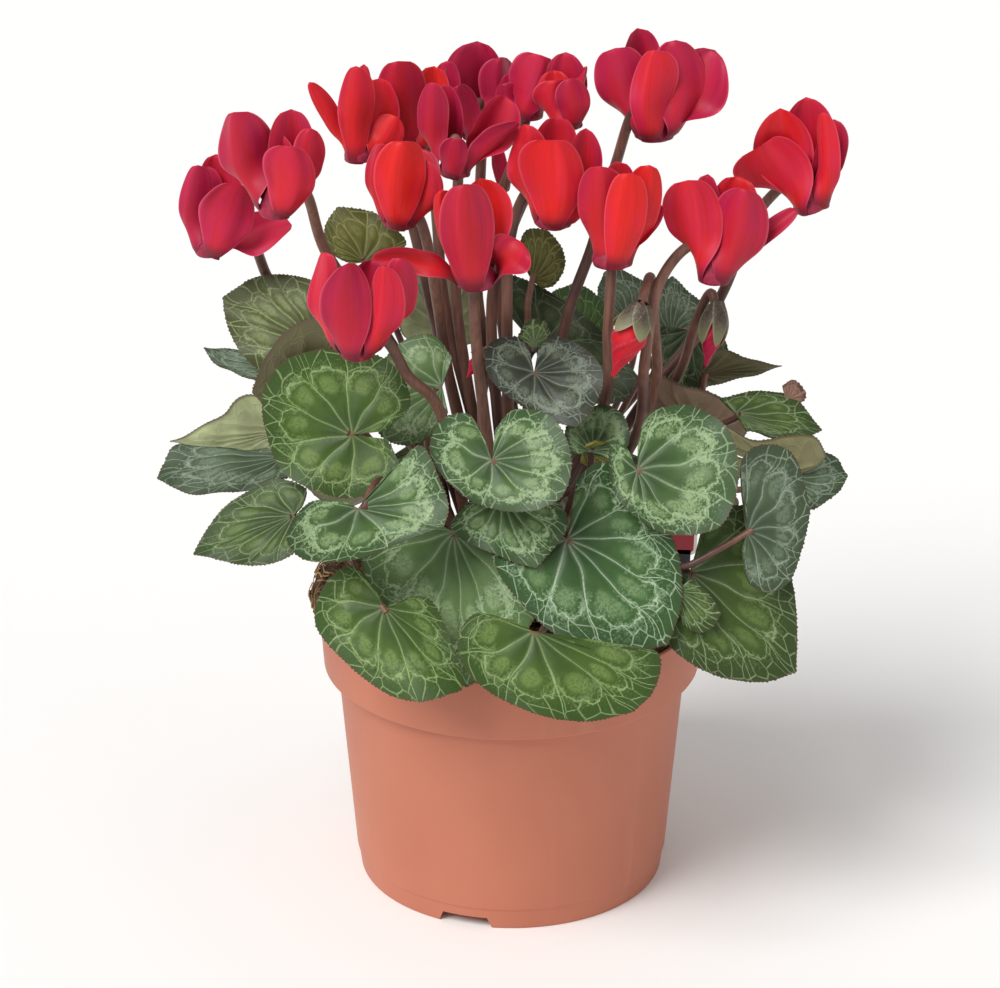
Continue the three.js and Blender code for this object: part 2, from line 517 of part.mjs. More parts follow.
function rootBallGeometry() {
  const points = [];
  const faces = [];
  const rings = rootBallRings();
  const at = (ring, side) => 1 + ring * ROOT_SIDES + (side % ROOT_SIDES);
  points.push(new THREE.Vector3(0, 0, FLOOR_THICKNESS + FLOOR_CLEARANCE));
  rings.forEach(([radius, height, reach, rise]) => {
    for (let side = 0; side < ROOT_SIDES; side += 1) {
      const angle = 2 * Math.PI * side / ROOT_SIDES;
      const far = radius + reach * proud(angle);
      const top = height + rise * proud(angle);
      points.push(new THREE.Vector3(far * Math.cos(angle), far * Math.sin(angle), top));
    }
  });
  points.push(new THREE.Vector3(0, 0, ROOT_TOP));
  const top = points.length - 1;
  for (let side = 0; side < ROOT_SIDES; side += 1) {
    faces.push([0, at(0, side + 1), at(0, side)]);
    faces.push([top, at(rings.length - 1, side), at(rings.length - 1, side + 1)]);
    for (let ring = 0; ring + 1 < rings.length; ring += 1) {
      faces.push([at(ring, side), at(ring, side + 1), at(ring + 1, side)]);
      faces.push([at(ring, side + 1), at(ring + 1, side + 1), at(ring + 1, side)]);
    }
  }
  return closedGeometry(points, faces);
}

function makeRootBall() {
  const slot = labelStake(STAKE_CLEARANCE);
  return meshOf('root_ball', solidOf(rootBallGeometry()).subtract(solidOf(slot)), '#5f4531', 0.95);
}

// Tuber: a low corky dome with a plain socket for each stem.

function tuberOutline() {
  return [
    [0, ROOT_TOP],
    [TUBER_RADIUS - 1, ROOT_TOP],
    [TUBER_RADIUS + 1, ROOT_TOP + 4],
    [TUBER_RADIUS, TUBER_TOP - 2],
    [TUBER_RADIUS - 2, TUBER_TOP],
    [0, TUBER_TOP],
  ];
}

function socket([x, y], radius, sides) {
  const depth = STEM_STRAIGHT_TOP - SOCKET_BOTTOM + 2;
  const wide = radius + SOCKET_CLEARANCE;
  const bottom = new THREE.Vector3(x, y, SOCKET_BOTTOM);
  return tube([bottom, new THREE.Vector3(x, y, SOCKET_BOTTOM + depth)], wide, sides);
}

function makeTuber(feet) {
  let tuber = solidOf(turned(tuberOutline(), 16));
  feet.forEach(([foot, radius, sides]) => {
    tuber = tuber.subtract(solidOf(socket(foot, radius, sides)));
  });
  return meshOf('tuber', tuber, '#5a4636', 0.9);
}

// Leaves: the margin is drawn on the blade's own plane, then the relief lifts it.

function relief(x, y, length, reach, around, [dish, fold, wave, phase]) {
  const bowl = 0.01 * dish * (x * x + y * y) / length;
  const crease = 0.01 * fold * (Math.hypot(x, 3) - 3);
  const ripple = Math.sin(5 * Math.PI * around + THREE.MathUtils.degToRad(phase));
  return bowl + crease + 0.1 * wave * reach ** 3 * ripple;
}

function bladePlane(leaf) {
  return planeThrough(seen(leaf[1]), leaf);
}

function planeThrough(join, leaf) {
  const normal = new THREE.Vector3(...leaf[2]).normalize();
  const onPlane = ([across, down], lift) => {
    const ray = seen([across, down, 0]).sub(CAMERA_PLACE);
    const gap = join.clone().addScaledVector(normal, lift).sub(CAMERA_PLACE).dot(normal);
    return CAMERA_PLACE.clone().addScaledVector(ray, gap / ray.dot(normal)).sub(join);
  };
  const forward = onPlane(leaf[3], 0);
  const length = forward.length();
  forward.normalize();
  const side = new THREE.Vector3().crossVectors(forward, normal);
  return { join, normal, forward, side, length, onPlane };
}

// The plane of a fold: as for a leaf, but it starts from a point on its leaf's own blade.
function foldPlane(fold, plane, shape) {
  const spot = plane.onPlane(fold[1], 0);
  const lift = relief(spot.dot(plane.side), spot.dot(plane.forward), plane.length, 0.7, 0, shape);
  const join = plane.join.clone().add(spot).addScaledVector(plane.normal, lift - BLADE_THICKNESS / 2);
  return planeThrough(join, fold);
}

function evenPoints(corners, steps) {
  const curve = new THREE.SplineCurve(corners);
  curve.arcLengthDivisions = 200;
  return curve.getSpacedPoints(steps);
}

function marginOf(leaf, plane) {
  const place = (mark, around) => {
    let lift = 0;
    let spot = null;
    for (let round = 0; round < 4; round += 1) {
      spot = plane.onPlane(mark, lift);
      lift = relief(spot.dot(plane.side), spot.dot(plane.forward), plane.length, 1, around, leaf[6]);
    }
    return new THREE.Vector2(spot.dot(plane.side), spot.dot(plane.forward));
  };
  const half = (marks, sign) => {
    const inner = marks.map((mark, index) => place(mark, sign * (index + 1) / marks.length));
    return evenPoints([place(leaf[3], 0), ...inner], BLADE_STEPS);
  };
  return [...half(leaf[4], -1).reverse(), ...half(leaf[5], 1).slice(1)];
}

// The blade: a fan round the join, a ring of every second margin point halfway out, the margin.
function bladeGeometry(margin, plane, shape) {
  const count = margin.length;
  const last = count - 1;
  const halfway = (last / 2) + 1;
  const points = [];
  [0, BLADE_THICKNESS].forEach((drop) => {
    const add = (index, reach) => {
      const x = margin[index].x * reach;
      const y = margin[index].y * reach;
      const lift = relief(x, y, plane.length, reach, 2 * index / last - 1, shape) - drop;
      points.push(plane.join.clone().addScaledVector(plane.side, x)
        .addScaledVector(plane.forward, y).addScaledVector(plane.normal, lift));
    };
    points.push(plane.join.clone().addScaledVector(plane.normal, -drop));
    for (let index = 0; index < count; index += 2) {
      add(index, BLADE_RING);
    }
    for (let index = 0; index < count; index += 1) {
      add(index, 1);
    }
  });
  const under = points.length / 2;
  const outer = 1 + halfway;
  const top = [];
  for (let index = 0; index + 1 < halfway; index += 1) {
    const [a, b] = [1 + index, 2 + index];
    const c = outer + 2 * index;
    top.push([0, b, a], [a, b, c + 1], [a, c + 1, c], [b, c + 2, c + 1]);
  }
  const edge = [0, 1];
  for (let index = 0; index < count; index += 1) {
    edge.push(outer + index);
  }
  edge.push(halfway, 0);
  const faces = [];
  top.forEach(([a, b, c]) => faces.push([a, b, c], [under + a, under + c, under + b]));
  for (let index = 0; index + 1 < edge.length; index += 1) {
    const [a, b] = [edge[index], edge[index + 1]];
    faces.push([a, b, under + b], [a, under + b, under + a]);
  }
  const clockwise = THREE.ShapeUtils.area(margin) < 0;
  return closedGeometry(points, clockwise ? faces : faces.map(([a, b, c]) => [a, c, b]));
}

function petiolePoints(plane, foot, marks = []) {
  const start = new THREE.Vector3(...foot, STEM_STRAIGHT_TOP);
  const end = plane.join.clone().addScaledVector(plane.forward, PETIOLE_END)
    .addScaledVector(plane.normal, -0.6 * BLADE_THICKNESS);
  const bottom = new THREE.Vector3(...foot, SOCKET_BOTTOM);
  if (marks.length > 0) {
    return smoothPath([bottom, start, ...marks.map(seen), end], PETIOLE_SPANS);
  }
  const far = start.distanceTo(end);
  const arrive = plane.forward.clone().multiplyScalar(0.6).addScaledVector(plane.normal, 0.8);
  const rise = start.clone().add(new THREE.Vector3(0, 0, 0.35 * far));
  const under = end.clone().addScaledVector(arrive, -0.3 * far);
  return [bottom, ...new THREE.CubicBezierCurve3(start, rise, under, end).getPoints(PETIOLE_SPANS)];
}

function makeLeaf(leaf, foot, color) {
  const plane = bladePlane(leaf);
  let solid = solidOf(bladeGeometry(marginOf(leaf, plane), plane, leaf[6]));
  FOLDS.filter((fold) => fold[0] === leaf[0]).forEach((fold) => {
    const turned = foldPlane(fold, plane, leaf[6]);
    solid = solid.add(solidOf(bladeGeometry(marginOf(fold, turned), turned, fold[6])));
  });
  const marks = PETIOLE_MARKS[leaf[0]];
  const path = petiolePoints(plane, foot, marks);
  const petiole = tube(path, PETIOLE_RADIUS, PETIOLE_SIDES, marks ? null : plane.normal);
  return meshOf(leaf[0], solid.add(solidOf(petiole)), color);
}

function makeBackLeaf([name, place, face, toTip, length, wide, shape], foot, color) {
  const join = new THREE.Vector3(...place);
  const normal = new THREE.Vector3(...face).normalize();
  const forward = new THREE.Vector3(...toTip);
  forward.addScaledVector(normal, -forward.dot(normal)).normalize();
  const side = new THREE.Vector3().crossVectors(forward, normal);
  const plane = { join, normal, forward, side, length };
  const half = (sign) => evenPoints([
    new THREE.Vector2(0, length),
    ...HEART.map(([x, y]) => new THREE.Vector2(sign * wide * x, length * y)),
  ], BLADE_STEPS);
  const margin = [...half(-1).reverse(), ...half(1).slice(1)];
  const path = petiolePoints(plane, foot);
  const blade = solidOf(bladeGeometry(margin, plane, shape));
  return meshOf(name, blade.add(solidOf(tube(path, PETIOLE_RADIUS, PETIOLE_SIDES, plane.normal))), color);
}

// Feet on the tuber: the places are ranked, dealt out to the rings from the outermost in, and
// turned within each ring towards where their stem goes, as evenly spaced as asked for.
function feetOf(places, rank, rings, evenness) {
  const order = places.map((place, index) => ({ index, place, key: rank(place) }));
  order.sort((a, b) => a.key - b.key);
  const feet = [];
  let dealt = 0;
  rings.forEach(([radius, count]) => {
    const ring = order.slice(dealt, dealt + count);
    dealt += count;
    ring.forEach((foot) => { foot.angle = Math.atan2(foot.place.y, foot.place.x); });
    ring.sort((a, b) => a.angle - b.angle);
    ring.forEach(({ index, angle }, turn) => {
      const even = -Math.PI + 2 * Math.PI * (turn + 0.5) / ring.length;
      const facing = evenness * even + (1 - evenness) * angle;
      feet[index] = [radius * Math.cos(facing), radius * Math.sin(facing)];
    });
  });
  return feet;
}

function leafFeet() {
  const joins = [
    ...LEAVES.map((leaf) => seen(leaf[1])),
    ...BACK_LEAVES.map((leaf) => new THREE.Vector3(...leaf[1])),
  ];
  return feetOf(joins, (join) => join.z, LEAF_FOOT_RINGS, LEAF_FEET_EVEN);
}

function stemFeet() {
  const marks = [...BLOOMS.map((bloom) => bloom[4][0]), ...BUDS.map((bud) => bud[1][0])];
  return feetOf(marks.map(seen), (mark) => -Math.hypot(mark.x, mark.y), STEM_FOOT_RINGS, STEM_FEET_EVEN);
}

// Blooms: five petals fold up over a ring round a short throat, and the stem hooks over.

function bloomFrame(bloom) {
  const nose = seen(bloom[1]);
  const axis = new THREE.Vector3(...bloom[2]).normalize();
  const front = new THREE.Vector3(0, -1, 0);
  front.addScaledVector(axis, -front.dot(axis)).normalize();
  return { nose, axis, front, right: new THREE.Vector3().crossVectors(axis, front) };
}

function petalWidth(t, start, widest) {
  if (t <= PETAL_WIDEST) {
    return start + (widest - start) * Math.sin(Math.PI / 2 * t / PETAL_WIDEST) ** 1.3;
  }
  return widest * Math.max(1 - ((t - PETAL_WIDEST) / (1 - PETAL_WIDEST)) ** 2.3, 0) ** 0.55;
}

function petalGeometry(bloom, frame, petal) {
  const [azimuth, across, down, depth, widest, turn, bow, lift] = petal;
  const ring = bloom[3];
  const angle = THREE.MathUtils.degToRad(azimuth);
  const outward = frame.front.clone().multiplyScalar(Math.cos(angle))
    .addScaledVector(frame.right, Math.sin(angle));
  const along = new THREE.Vector3().crossVectors(frame.axis, outward);
  const start = frame.nose.clone().addScaledVector(outward, ring).add(frame.axis);
  const reach = seen([across, down, bloom[1][2] + depth]).sub(start);
  const way = reach.clone().normalize();
  const view = CAMERA_PLACE.clone().sub(start).addScaledVector(reach, -0.5);
  view.addScaledVector(way, -view.dot(way)).normalize();
  const tilt = THREE.MathUtils.degToRad(turn);
  const end = new THREE.Vector3().crossVectors(way, view).multiplyScalar(Math.cos(tilt))
    .addScaledVector(view, Math.sin(tilt));
  if (end.dot(along) < 0) {
    end.negate();
  }
  const points = [[], []];
  PETAL_ROWS.forEach((t) => {
    const centre = start.clone().addScaledVector(reach, t)
      .addScaledVector(outward, bow * Math.sin(Math.PI * t ** 0.65))
      .addScaledVector(frame.axis, lift * Math.sin(Math.PI * t));
    const blend = THREE.MathUtils.smoothstep(t, 0, 0.5);
    const wide = along.clone().lerp(end, blend);
    wide.addScaledVector(way, -wide.dot(way)).normalize();
    const out = new THREE.Vector3().crossVectors(wide, way);
    const half = petalWidth(t, PETAL_BASE * ring, widest);
    [-1, 0, 1].forEach((s) => {
      const spot = centre.clone().addScaledVector(wide, half * s)
        .addScaledVector(out, -PETAL_CUP * half * s * s);
      points[0].push(spot.clone().addScaledVector(out, PETAL_THICKNESS / 2));
      points[1].push(spot.clone().addScaledVector(out, -PETAL_THICKNESS / 2));
    });
  });
  return gridSolid(points, PETAL_ROWS.length, 3);
}

// Two grids of points, outer and inner, closed into one thin solid.
function gridSolid([outer, inner], rows, columns) {
  const half = rows * columns;
  const faces = [];
  for (let row = 0; row + 1 < rows; row += 1) {
    for (let column = 0; column + 1 < columns; column += 1) {
      const a = row * columns + column;
      const corners = [a, a + 1, a + columns + 1, a + columns];
      faces.push([corners[0], corners[1], corners[2]], [corners[0], corners[2], corners[3]]);
      const back = corners.map((corner) => corner + half);
      faces.push([back[0], back[2], back[1]], [back[0], back[3], back[2]]);
    }
  }
  const edge = [];
  for (let column = 0; column < columns - 1; column += 1) {
    edge.push(column);
  }
  for (let row = 0; row < rows - 1; row += 1) {
    edge.push(row * columns + columns - 1);
  }
  for (let column = columns - 1; column > 0; column -= 1) {
    edge.push((rows - 1) * columns + column);
  }
  for (let row = rows - 1; row >= 0; row -= 1) {
    edge.push(row * columns);
  }
  for (let index = 0; index + 1 < edge.length; index += 1) {
    const [a, b] = [edge[index], edge[index + 1]];
    faces.push([b, a, half + a], [b, half + a, half + b]);
  }
  return closedGeometry([...outer, ...inner], faces);
}

// A tapered round plug from one point to another.
function taper(from, to, fromRadius, toRadius, sides = 8) {
  const way = to.clone().sub(from);
  const plug = new THREE.CylinderGeometry(toRadius, fromRadius, way.length(), sides);
  plug.applyQuaternion(new THREE.Quaternion().setFromUnitVectors(
    new THREE.Vector3(0, 1, 0), way.clone().normalize()));
  const middle = from.clone().add(to).multiplyScalar(0.5);
  return plug.translate(middle.x, middle.y, middle.z);
}

function stemPoints(foot, marks, last) {
  return [
    new THREE.Vector3(...foot, SOCKET_BOTTOM),
    new THREE.Vector3(...foot, STEM_STRAIGHT_TOP),
    ...marks.map(seen),
    ...last,
  ];
}

function makeBloom(bloom, foot, color) {
  const frame = bloomFrame(bloom);
  const up = (height) => frame.nose.clone().addScaledVector(frame.axis, height);
  const [top, topRadius] = THROAT_TOP;
  let solid = solidOf(taper(up(-0.4), up(top), bloom[3] + THROAT_LIP, topRadius, 6));
  bloom[5].forEach((petal) => {
    solid = solid.add(solidOf(petalGeometry(bloom, frame, petal)));
  });
  const neck = seen(bloom[4][bloom[4].length - 1]);
  const crook = up(CROOK_RISE).lerp(neck, 0.15);
  const path = smoothPath(stemPoints(foot, bloom[4], [crook, up(CROOK_END)]), STEM_SPANS);
  solid = solid.add(solidOf(tube(path, STEM_RADIUS, STEM_SIDES)));
  return meshOf(bloom[0], solid, color, 0.5);
}

// Buds: a spindle that hangs from the crook of its stem.
function budStemRadius(radius) {
  return Math.min(STEM_RADIUS, 0.8 * radius);
}

function makeBud([name, marks, top, tip, radius], foot) {
  const from = seen(top);
  const to = seen(tip);
  const middle = from.clone().lerp(to, 0.45);
  const path = stemPoints(foot, marks, [from.clone().lerp(to, 0.1)]);
  let solid = solidOf(tube(smoothPath(path, STEM_SPANS), budStemRadius(radius), STEM_SIDES));
  solid = solid.add(solidOf(taper(from, middle, 0.55 * radius, radius, 7)));
  solid = solid.add(solidOf(taper(middle, to, radius, 0.25 * radius, 7)));
  return meshOf(name, solid, '#8a2f38', 0.55);
}

// Plant label, standing in a slot of the root ball near the rim.

const LABEL_PLACE = [56.8, -12, 96.5];
const LABEL_LEAN = THREE.MathUtils.degToRad(2);

function labelStake(clearance) {
  const width = STAKE_WIDTH + 2 * clearance;
  const thick = LABEL_THICKNESS + 2 * clearance;
  const stake = boxAt(width, thick, STAKE_LENGTH, 0, 0, STAKE_LENGTH / 2 - STAKE_LENGTH / 3);
  return stake.rotateY(LABEL_LEAN).translate(...LABEL_PLACE);
}

function makeLabel() {
  const foot = 2 * STAKE_LENGTH / 3 - 2;
  const head = boxAt(LABEL_WIDTH, LABEL_THICKNESS, LABEL_HEIGHT, 0, 0, foot + LABEL_HEIGHT / 2);
  head.rotateY(LABEL_LEAN).translate(...LABEL_PLACE);
  return meshOf('plant_label', solidOf(head).add(solidOf(labelStake(0))), '#a51f2d', 0.4);
}

// The whole plant.

function build() {
  const plant = new THREE.Group();
  const feet = leafFeet();
  const stems = stemFeet();
  const sockets = [
    ...feet.map((foot) => [foot, PETIOLE_RADIUS, PETIOLE_SIDES]),
    ...BLOOMS.map((bloom, index) => [stems[index], STEM_RADIUS, STEM_SIDES]),
    ...BUDS.map((bud, index) => [stems[BLOOMS.length + index], budStemRadius(bud[4]), STEM_SIDES]),
  ];
  plant.add(makePot(), makeRootBall(), makeTuber(sockets), makeLabel());
  LEAVES.forEach((leaf, index) => plant.add(makeLeaf(leaf, feet[index], '#56733a')));
  BACK_LEAVES.forEach((leaf, index) => {
    plant.add(makeBackLeaf(leaf, feet[LEAVES.length + index], '#4c6a36'));
  });
  BLOOMS.forEach((bloom, index) => plant.add(makeBloom(bloom, stems[index], '#d8203a')));
  BUDS.forEach((bud, index) => plant.add(makeBud(bud, stems[BLOOMS.length + index])));
  return plant;
}

export default build();
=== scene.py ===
"""Potted cyclamen: fine leaves, blooms, buds, pot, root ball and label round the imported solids.

Shapes are worked out in millimetres and put into Blender's meshes in metres. A place typed as
(across, down, depth) is a point of the picture, in pixels of its 1000 by 988 frame, with the
depth along Y in millimetres.
"""

import math

import bpy
import numpy as np
from bpy.props import FloatProperty, FloatVectorProperty, IntProperty, PointerProperty
from bpy.types import Operator, Panel, PropertyGroup
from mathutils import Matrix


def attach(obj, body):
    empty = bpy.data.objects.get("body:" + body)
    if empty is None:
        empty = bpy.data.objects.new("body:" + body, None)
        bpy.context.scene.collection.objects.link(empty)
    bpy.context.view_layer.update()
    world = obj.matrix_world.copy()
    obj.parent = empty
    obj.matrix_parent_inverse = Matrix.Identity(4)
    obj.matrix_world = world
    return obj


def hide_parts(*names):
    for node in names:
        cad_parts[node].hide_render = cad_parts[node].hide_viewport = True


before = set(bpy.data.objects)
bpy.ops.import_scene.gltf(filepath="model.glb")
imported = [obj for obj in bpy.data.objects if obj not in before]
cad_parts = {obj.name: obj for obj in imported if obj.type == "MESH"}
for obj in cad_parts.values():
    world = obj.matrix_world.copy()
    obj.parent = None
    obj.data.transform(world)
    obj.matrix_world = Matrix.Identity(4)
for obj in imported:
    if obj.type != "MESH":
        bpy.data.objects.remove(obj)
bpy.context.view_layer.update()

bl_info = {
    "name": "Potted cyclamen",
    "version": (1, 0, 0),
    "blender": (4, 5, 0),
    "location": "View3D > Sidebar > Cyclamen",
    "description": "Builds the leaves, blooms, pot and soil of a potted cyclamen round its packed solids",
    "category": "Object",
}

MM = 0.001
WELD = 0.001

# The camera that the picture was taken with, in millimetres and pixels.
PICTURE = (1000, 988)
CAMERA_FOCUS = 3211
CAMERA_DISTANCE = 1104
CAMERA_ELEVATION = math.radians(22.4)
CAMERA_TARGET = np.array([-4.0, 0.0, 140.0])
CAMERA_BACK = np.array([0.0, -math.cos(CAMERA_ELEVATION), math.sin(CAMERA_ELEVATION)])
CAMERA_UP = np.array([0.0, math.sin(CAMERA_ELEVATION), math.cos(CAMERA_ELEVATION)])
CAMERA_PLACE = CAMERA_TARGET + CAMERA_DISTANCE * CAMERA_BACK
SENSOR = 36

# Pot, root ball and tuber, in millimetres and degrees.
FOOT_RADIUS = 53.7
FOOT_WIDTH = 2.6
LEDGE_HEIGHT = 7.9
LEDGE_RADIUS = 55.1
LEDGE_STEP = 0.45
BODY_TOP_HEIGHT = 77.6
BODY_TOP_RADIUS = 60.9
COLLAR_HEIGHT = 78.4
COLLAR_RADIUS = 65.6
RIM_RADIUS = 67
POT_HEIGHT = 100
WALL = 1.6
WALL_CLEARANCE = 0.5
FLOOR_UNDERSIDE = 4.5
FLOOR_THICKNESS = 2
FLOOR_TOP = FLOOR_UNDERSIDE + FLOOR_THICKNESS
PAD_RADIUS = 22
PAD_SLOPE = 2
FLOOR_CLEARANCE = 0.3
NOTCH_COUNT = 3
NOTCH_WIDTH = 20
NOTCH_HEIGHT = 4
NOTCH_FIRST = -107.5
DRAIN_COUNT = 4
DRAIN_RADIUS = 4
DRAIN_RING = 34
POT_SHARP = 35
ROOT_TOP = 104
SOIL_SIDES = 240
FIBRE_SEED = 11
FIBRE_POINTS = 8
PROUD_SIDE = 178
PROUD_SPAN = 60
PROUD_REACH = 6
TUBER_RADIUS = 35
TUBER_TOP = 112.5

# Stems and petioles, in millimetres. A ring of feet is (radius, number of feet), and its evenness
# goes from 0, each foot towards its own place, to 1, all at equal steps.
SOCKET_BOTTOM = 107.5
STEM_STRAIGHT_TOP = 116
PETIOLE_RADIUS = 1.3
PETIOLE_END = 2
STEM_RADIUS = 1.9
CROOK_RISE = 14
CROOK_END = 8
LEAF_FOOT_RINGS = ((33, 15), (27.5, 11), (22, 10))
STEM_FOOT_RINGS = ((16, 11), (8.6, 7), (0, 1))
LEAF_FEET_EVEN = 0.4
STEM_FEET_EVEN = 0.6
STEM_SIDES = 12
BLOOM_STEM_STEPS = 54
BUD_STEM_STEPS = 48
PETIOLE_SIDES = 8
PETIOLE_STEPS = 30

# Blades: shares of the way from the join to the margin where a ring of points lies, the step
# between two main veins as a share of half the margin, the widths of the net's cells and of a
# groove in millimetres, and how small and how large a tooth is beside the set tooth height.
BLADE_RINGS = (0, 0.04, 0.1, 0.17, 0.25, 0.33, 0.42, 0.51, 0.6, 0.68, 0.76, 0.83, 0.89, 0.94, 0.975, 1)
SECTOR = 0.22
NET_CELL = 5
GROOVE_WIDTH = 0.8
TOOTH_SPREAD = (0.3, 1.2)

# Each blade has its own seed and takes its lumps and its pattern from its own place in the noise.
SWAY_SEED = 200
FOLD_SEED = 60
BACK_SEED = 50
LUMP_SHIFT = 7.0
PATTERN_SHIFT = 97.0

# Petals: half width at the foot as a share of the ring that they fold over, share of the length
# where they are widest, steps of the fold and its angle in radians, steps and sides of the rest,
# and the seeds that each bloom has. Then the throat's upper end as (height, radius), its sides
# and those of a bud.
PETAL_BASE = 0.52
PETAL_WIDEST = 0.6
FOLD_STEPS = 6
FOLD_ANGLE = 2.4
PETAL_STEPS = 30
PETAL_SIDES = 40
PETAL_SEEDS = 100
THROAT_TOP = (9, 2.6)
THROAT_SIDES = 20
BUD_SIDES = 30

# Sepals under a bloom: how far above the nose they start, their length and half width, how far
# from the axis they start and how much further from it they end.
SEPAL_START = 11
SEPAL_LENGTH = 6.5
SEPAL_HALF_WIDTH = 1.9
SEPAL_FAR = 1.8
SEPAL_SPREAD = 2.4

# Plant label, in millimetres.
LABEL_WIDTH = 11
LABEL_HEIGHT = 30
LABEL_THICKNESS = 0.8
LABEL_CORNER = 2.5
LABEL_BORDER = 1.0
STAKE_WIDTH = 7
STAKE_LENGTH = 42
LABEL_PLACE = (56.8, -12, 96.5)
LABEL_POINTS = 64
LABEL_LEAN = math.radians(2)

# Rows of points round the label's card, from the middle of one face to that of the other: how
# far inside the edge each lies and its side, in thicknesses.
LABEL_ROWS = ((20.0, 0.5), (2.0, 0.5), (0.4, 0.5), (0.0, 0.25), (0.0, -0.25), (0.4, -0.5), (2.0, -0.5),
              (20.0, -0.5))

# Ground under the pot: radii of its rings of points and how far it lies below the pot's foot.
GROUND_RINGS = (0, 400, 1500, 6000)
GROUND_SIDES = 64
GROUND_DROP = 0.02

# Lights: turn about X, Y and Z and width of the disc of light, in degrees.
KEY_TURN = (43, 0, -46)
KEY_SPREAD = 34
FILL_TURN = (62, 0, 50)
FILL_SPREAD = 40
FILL_STRENGTH = 0.12

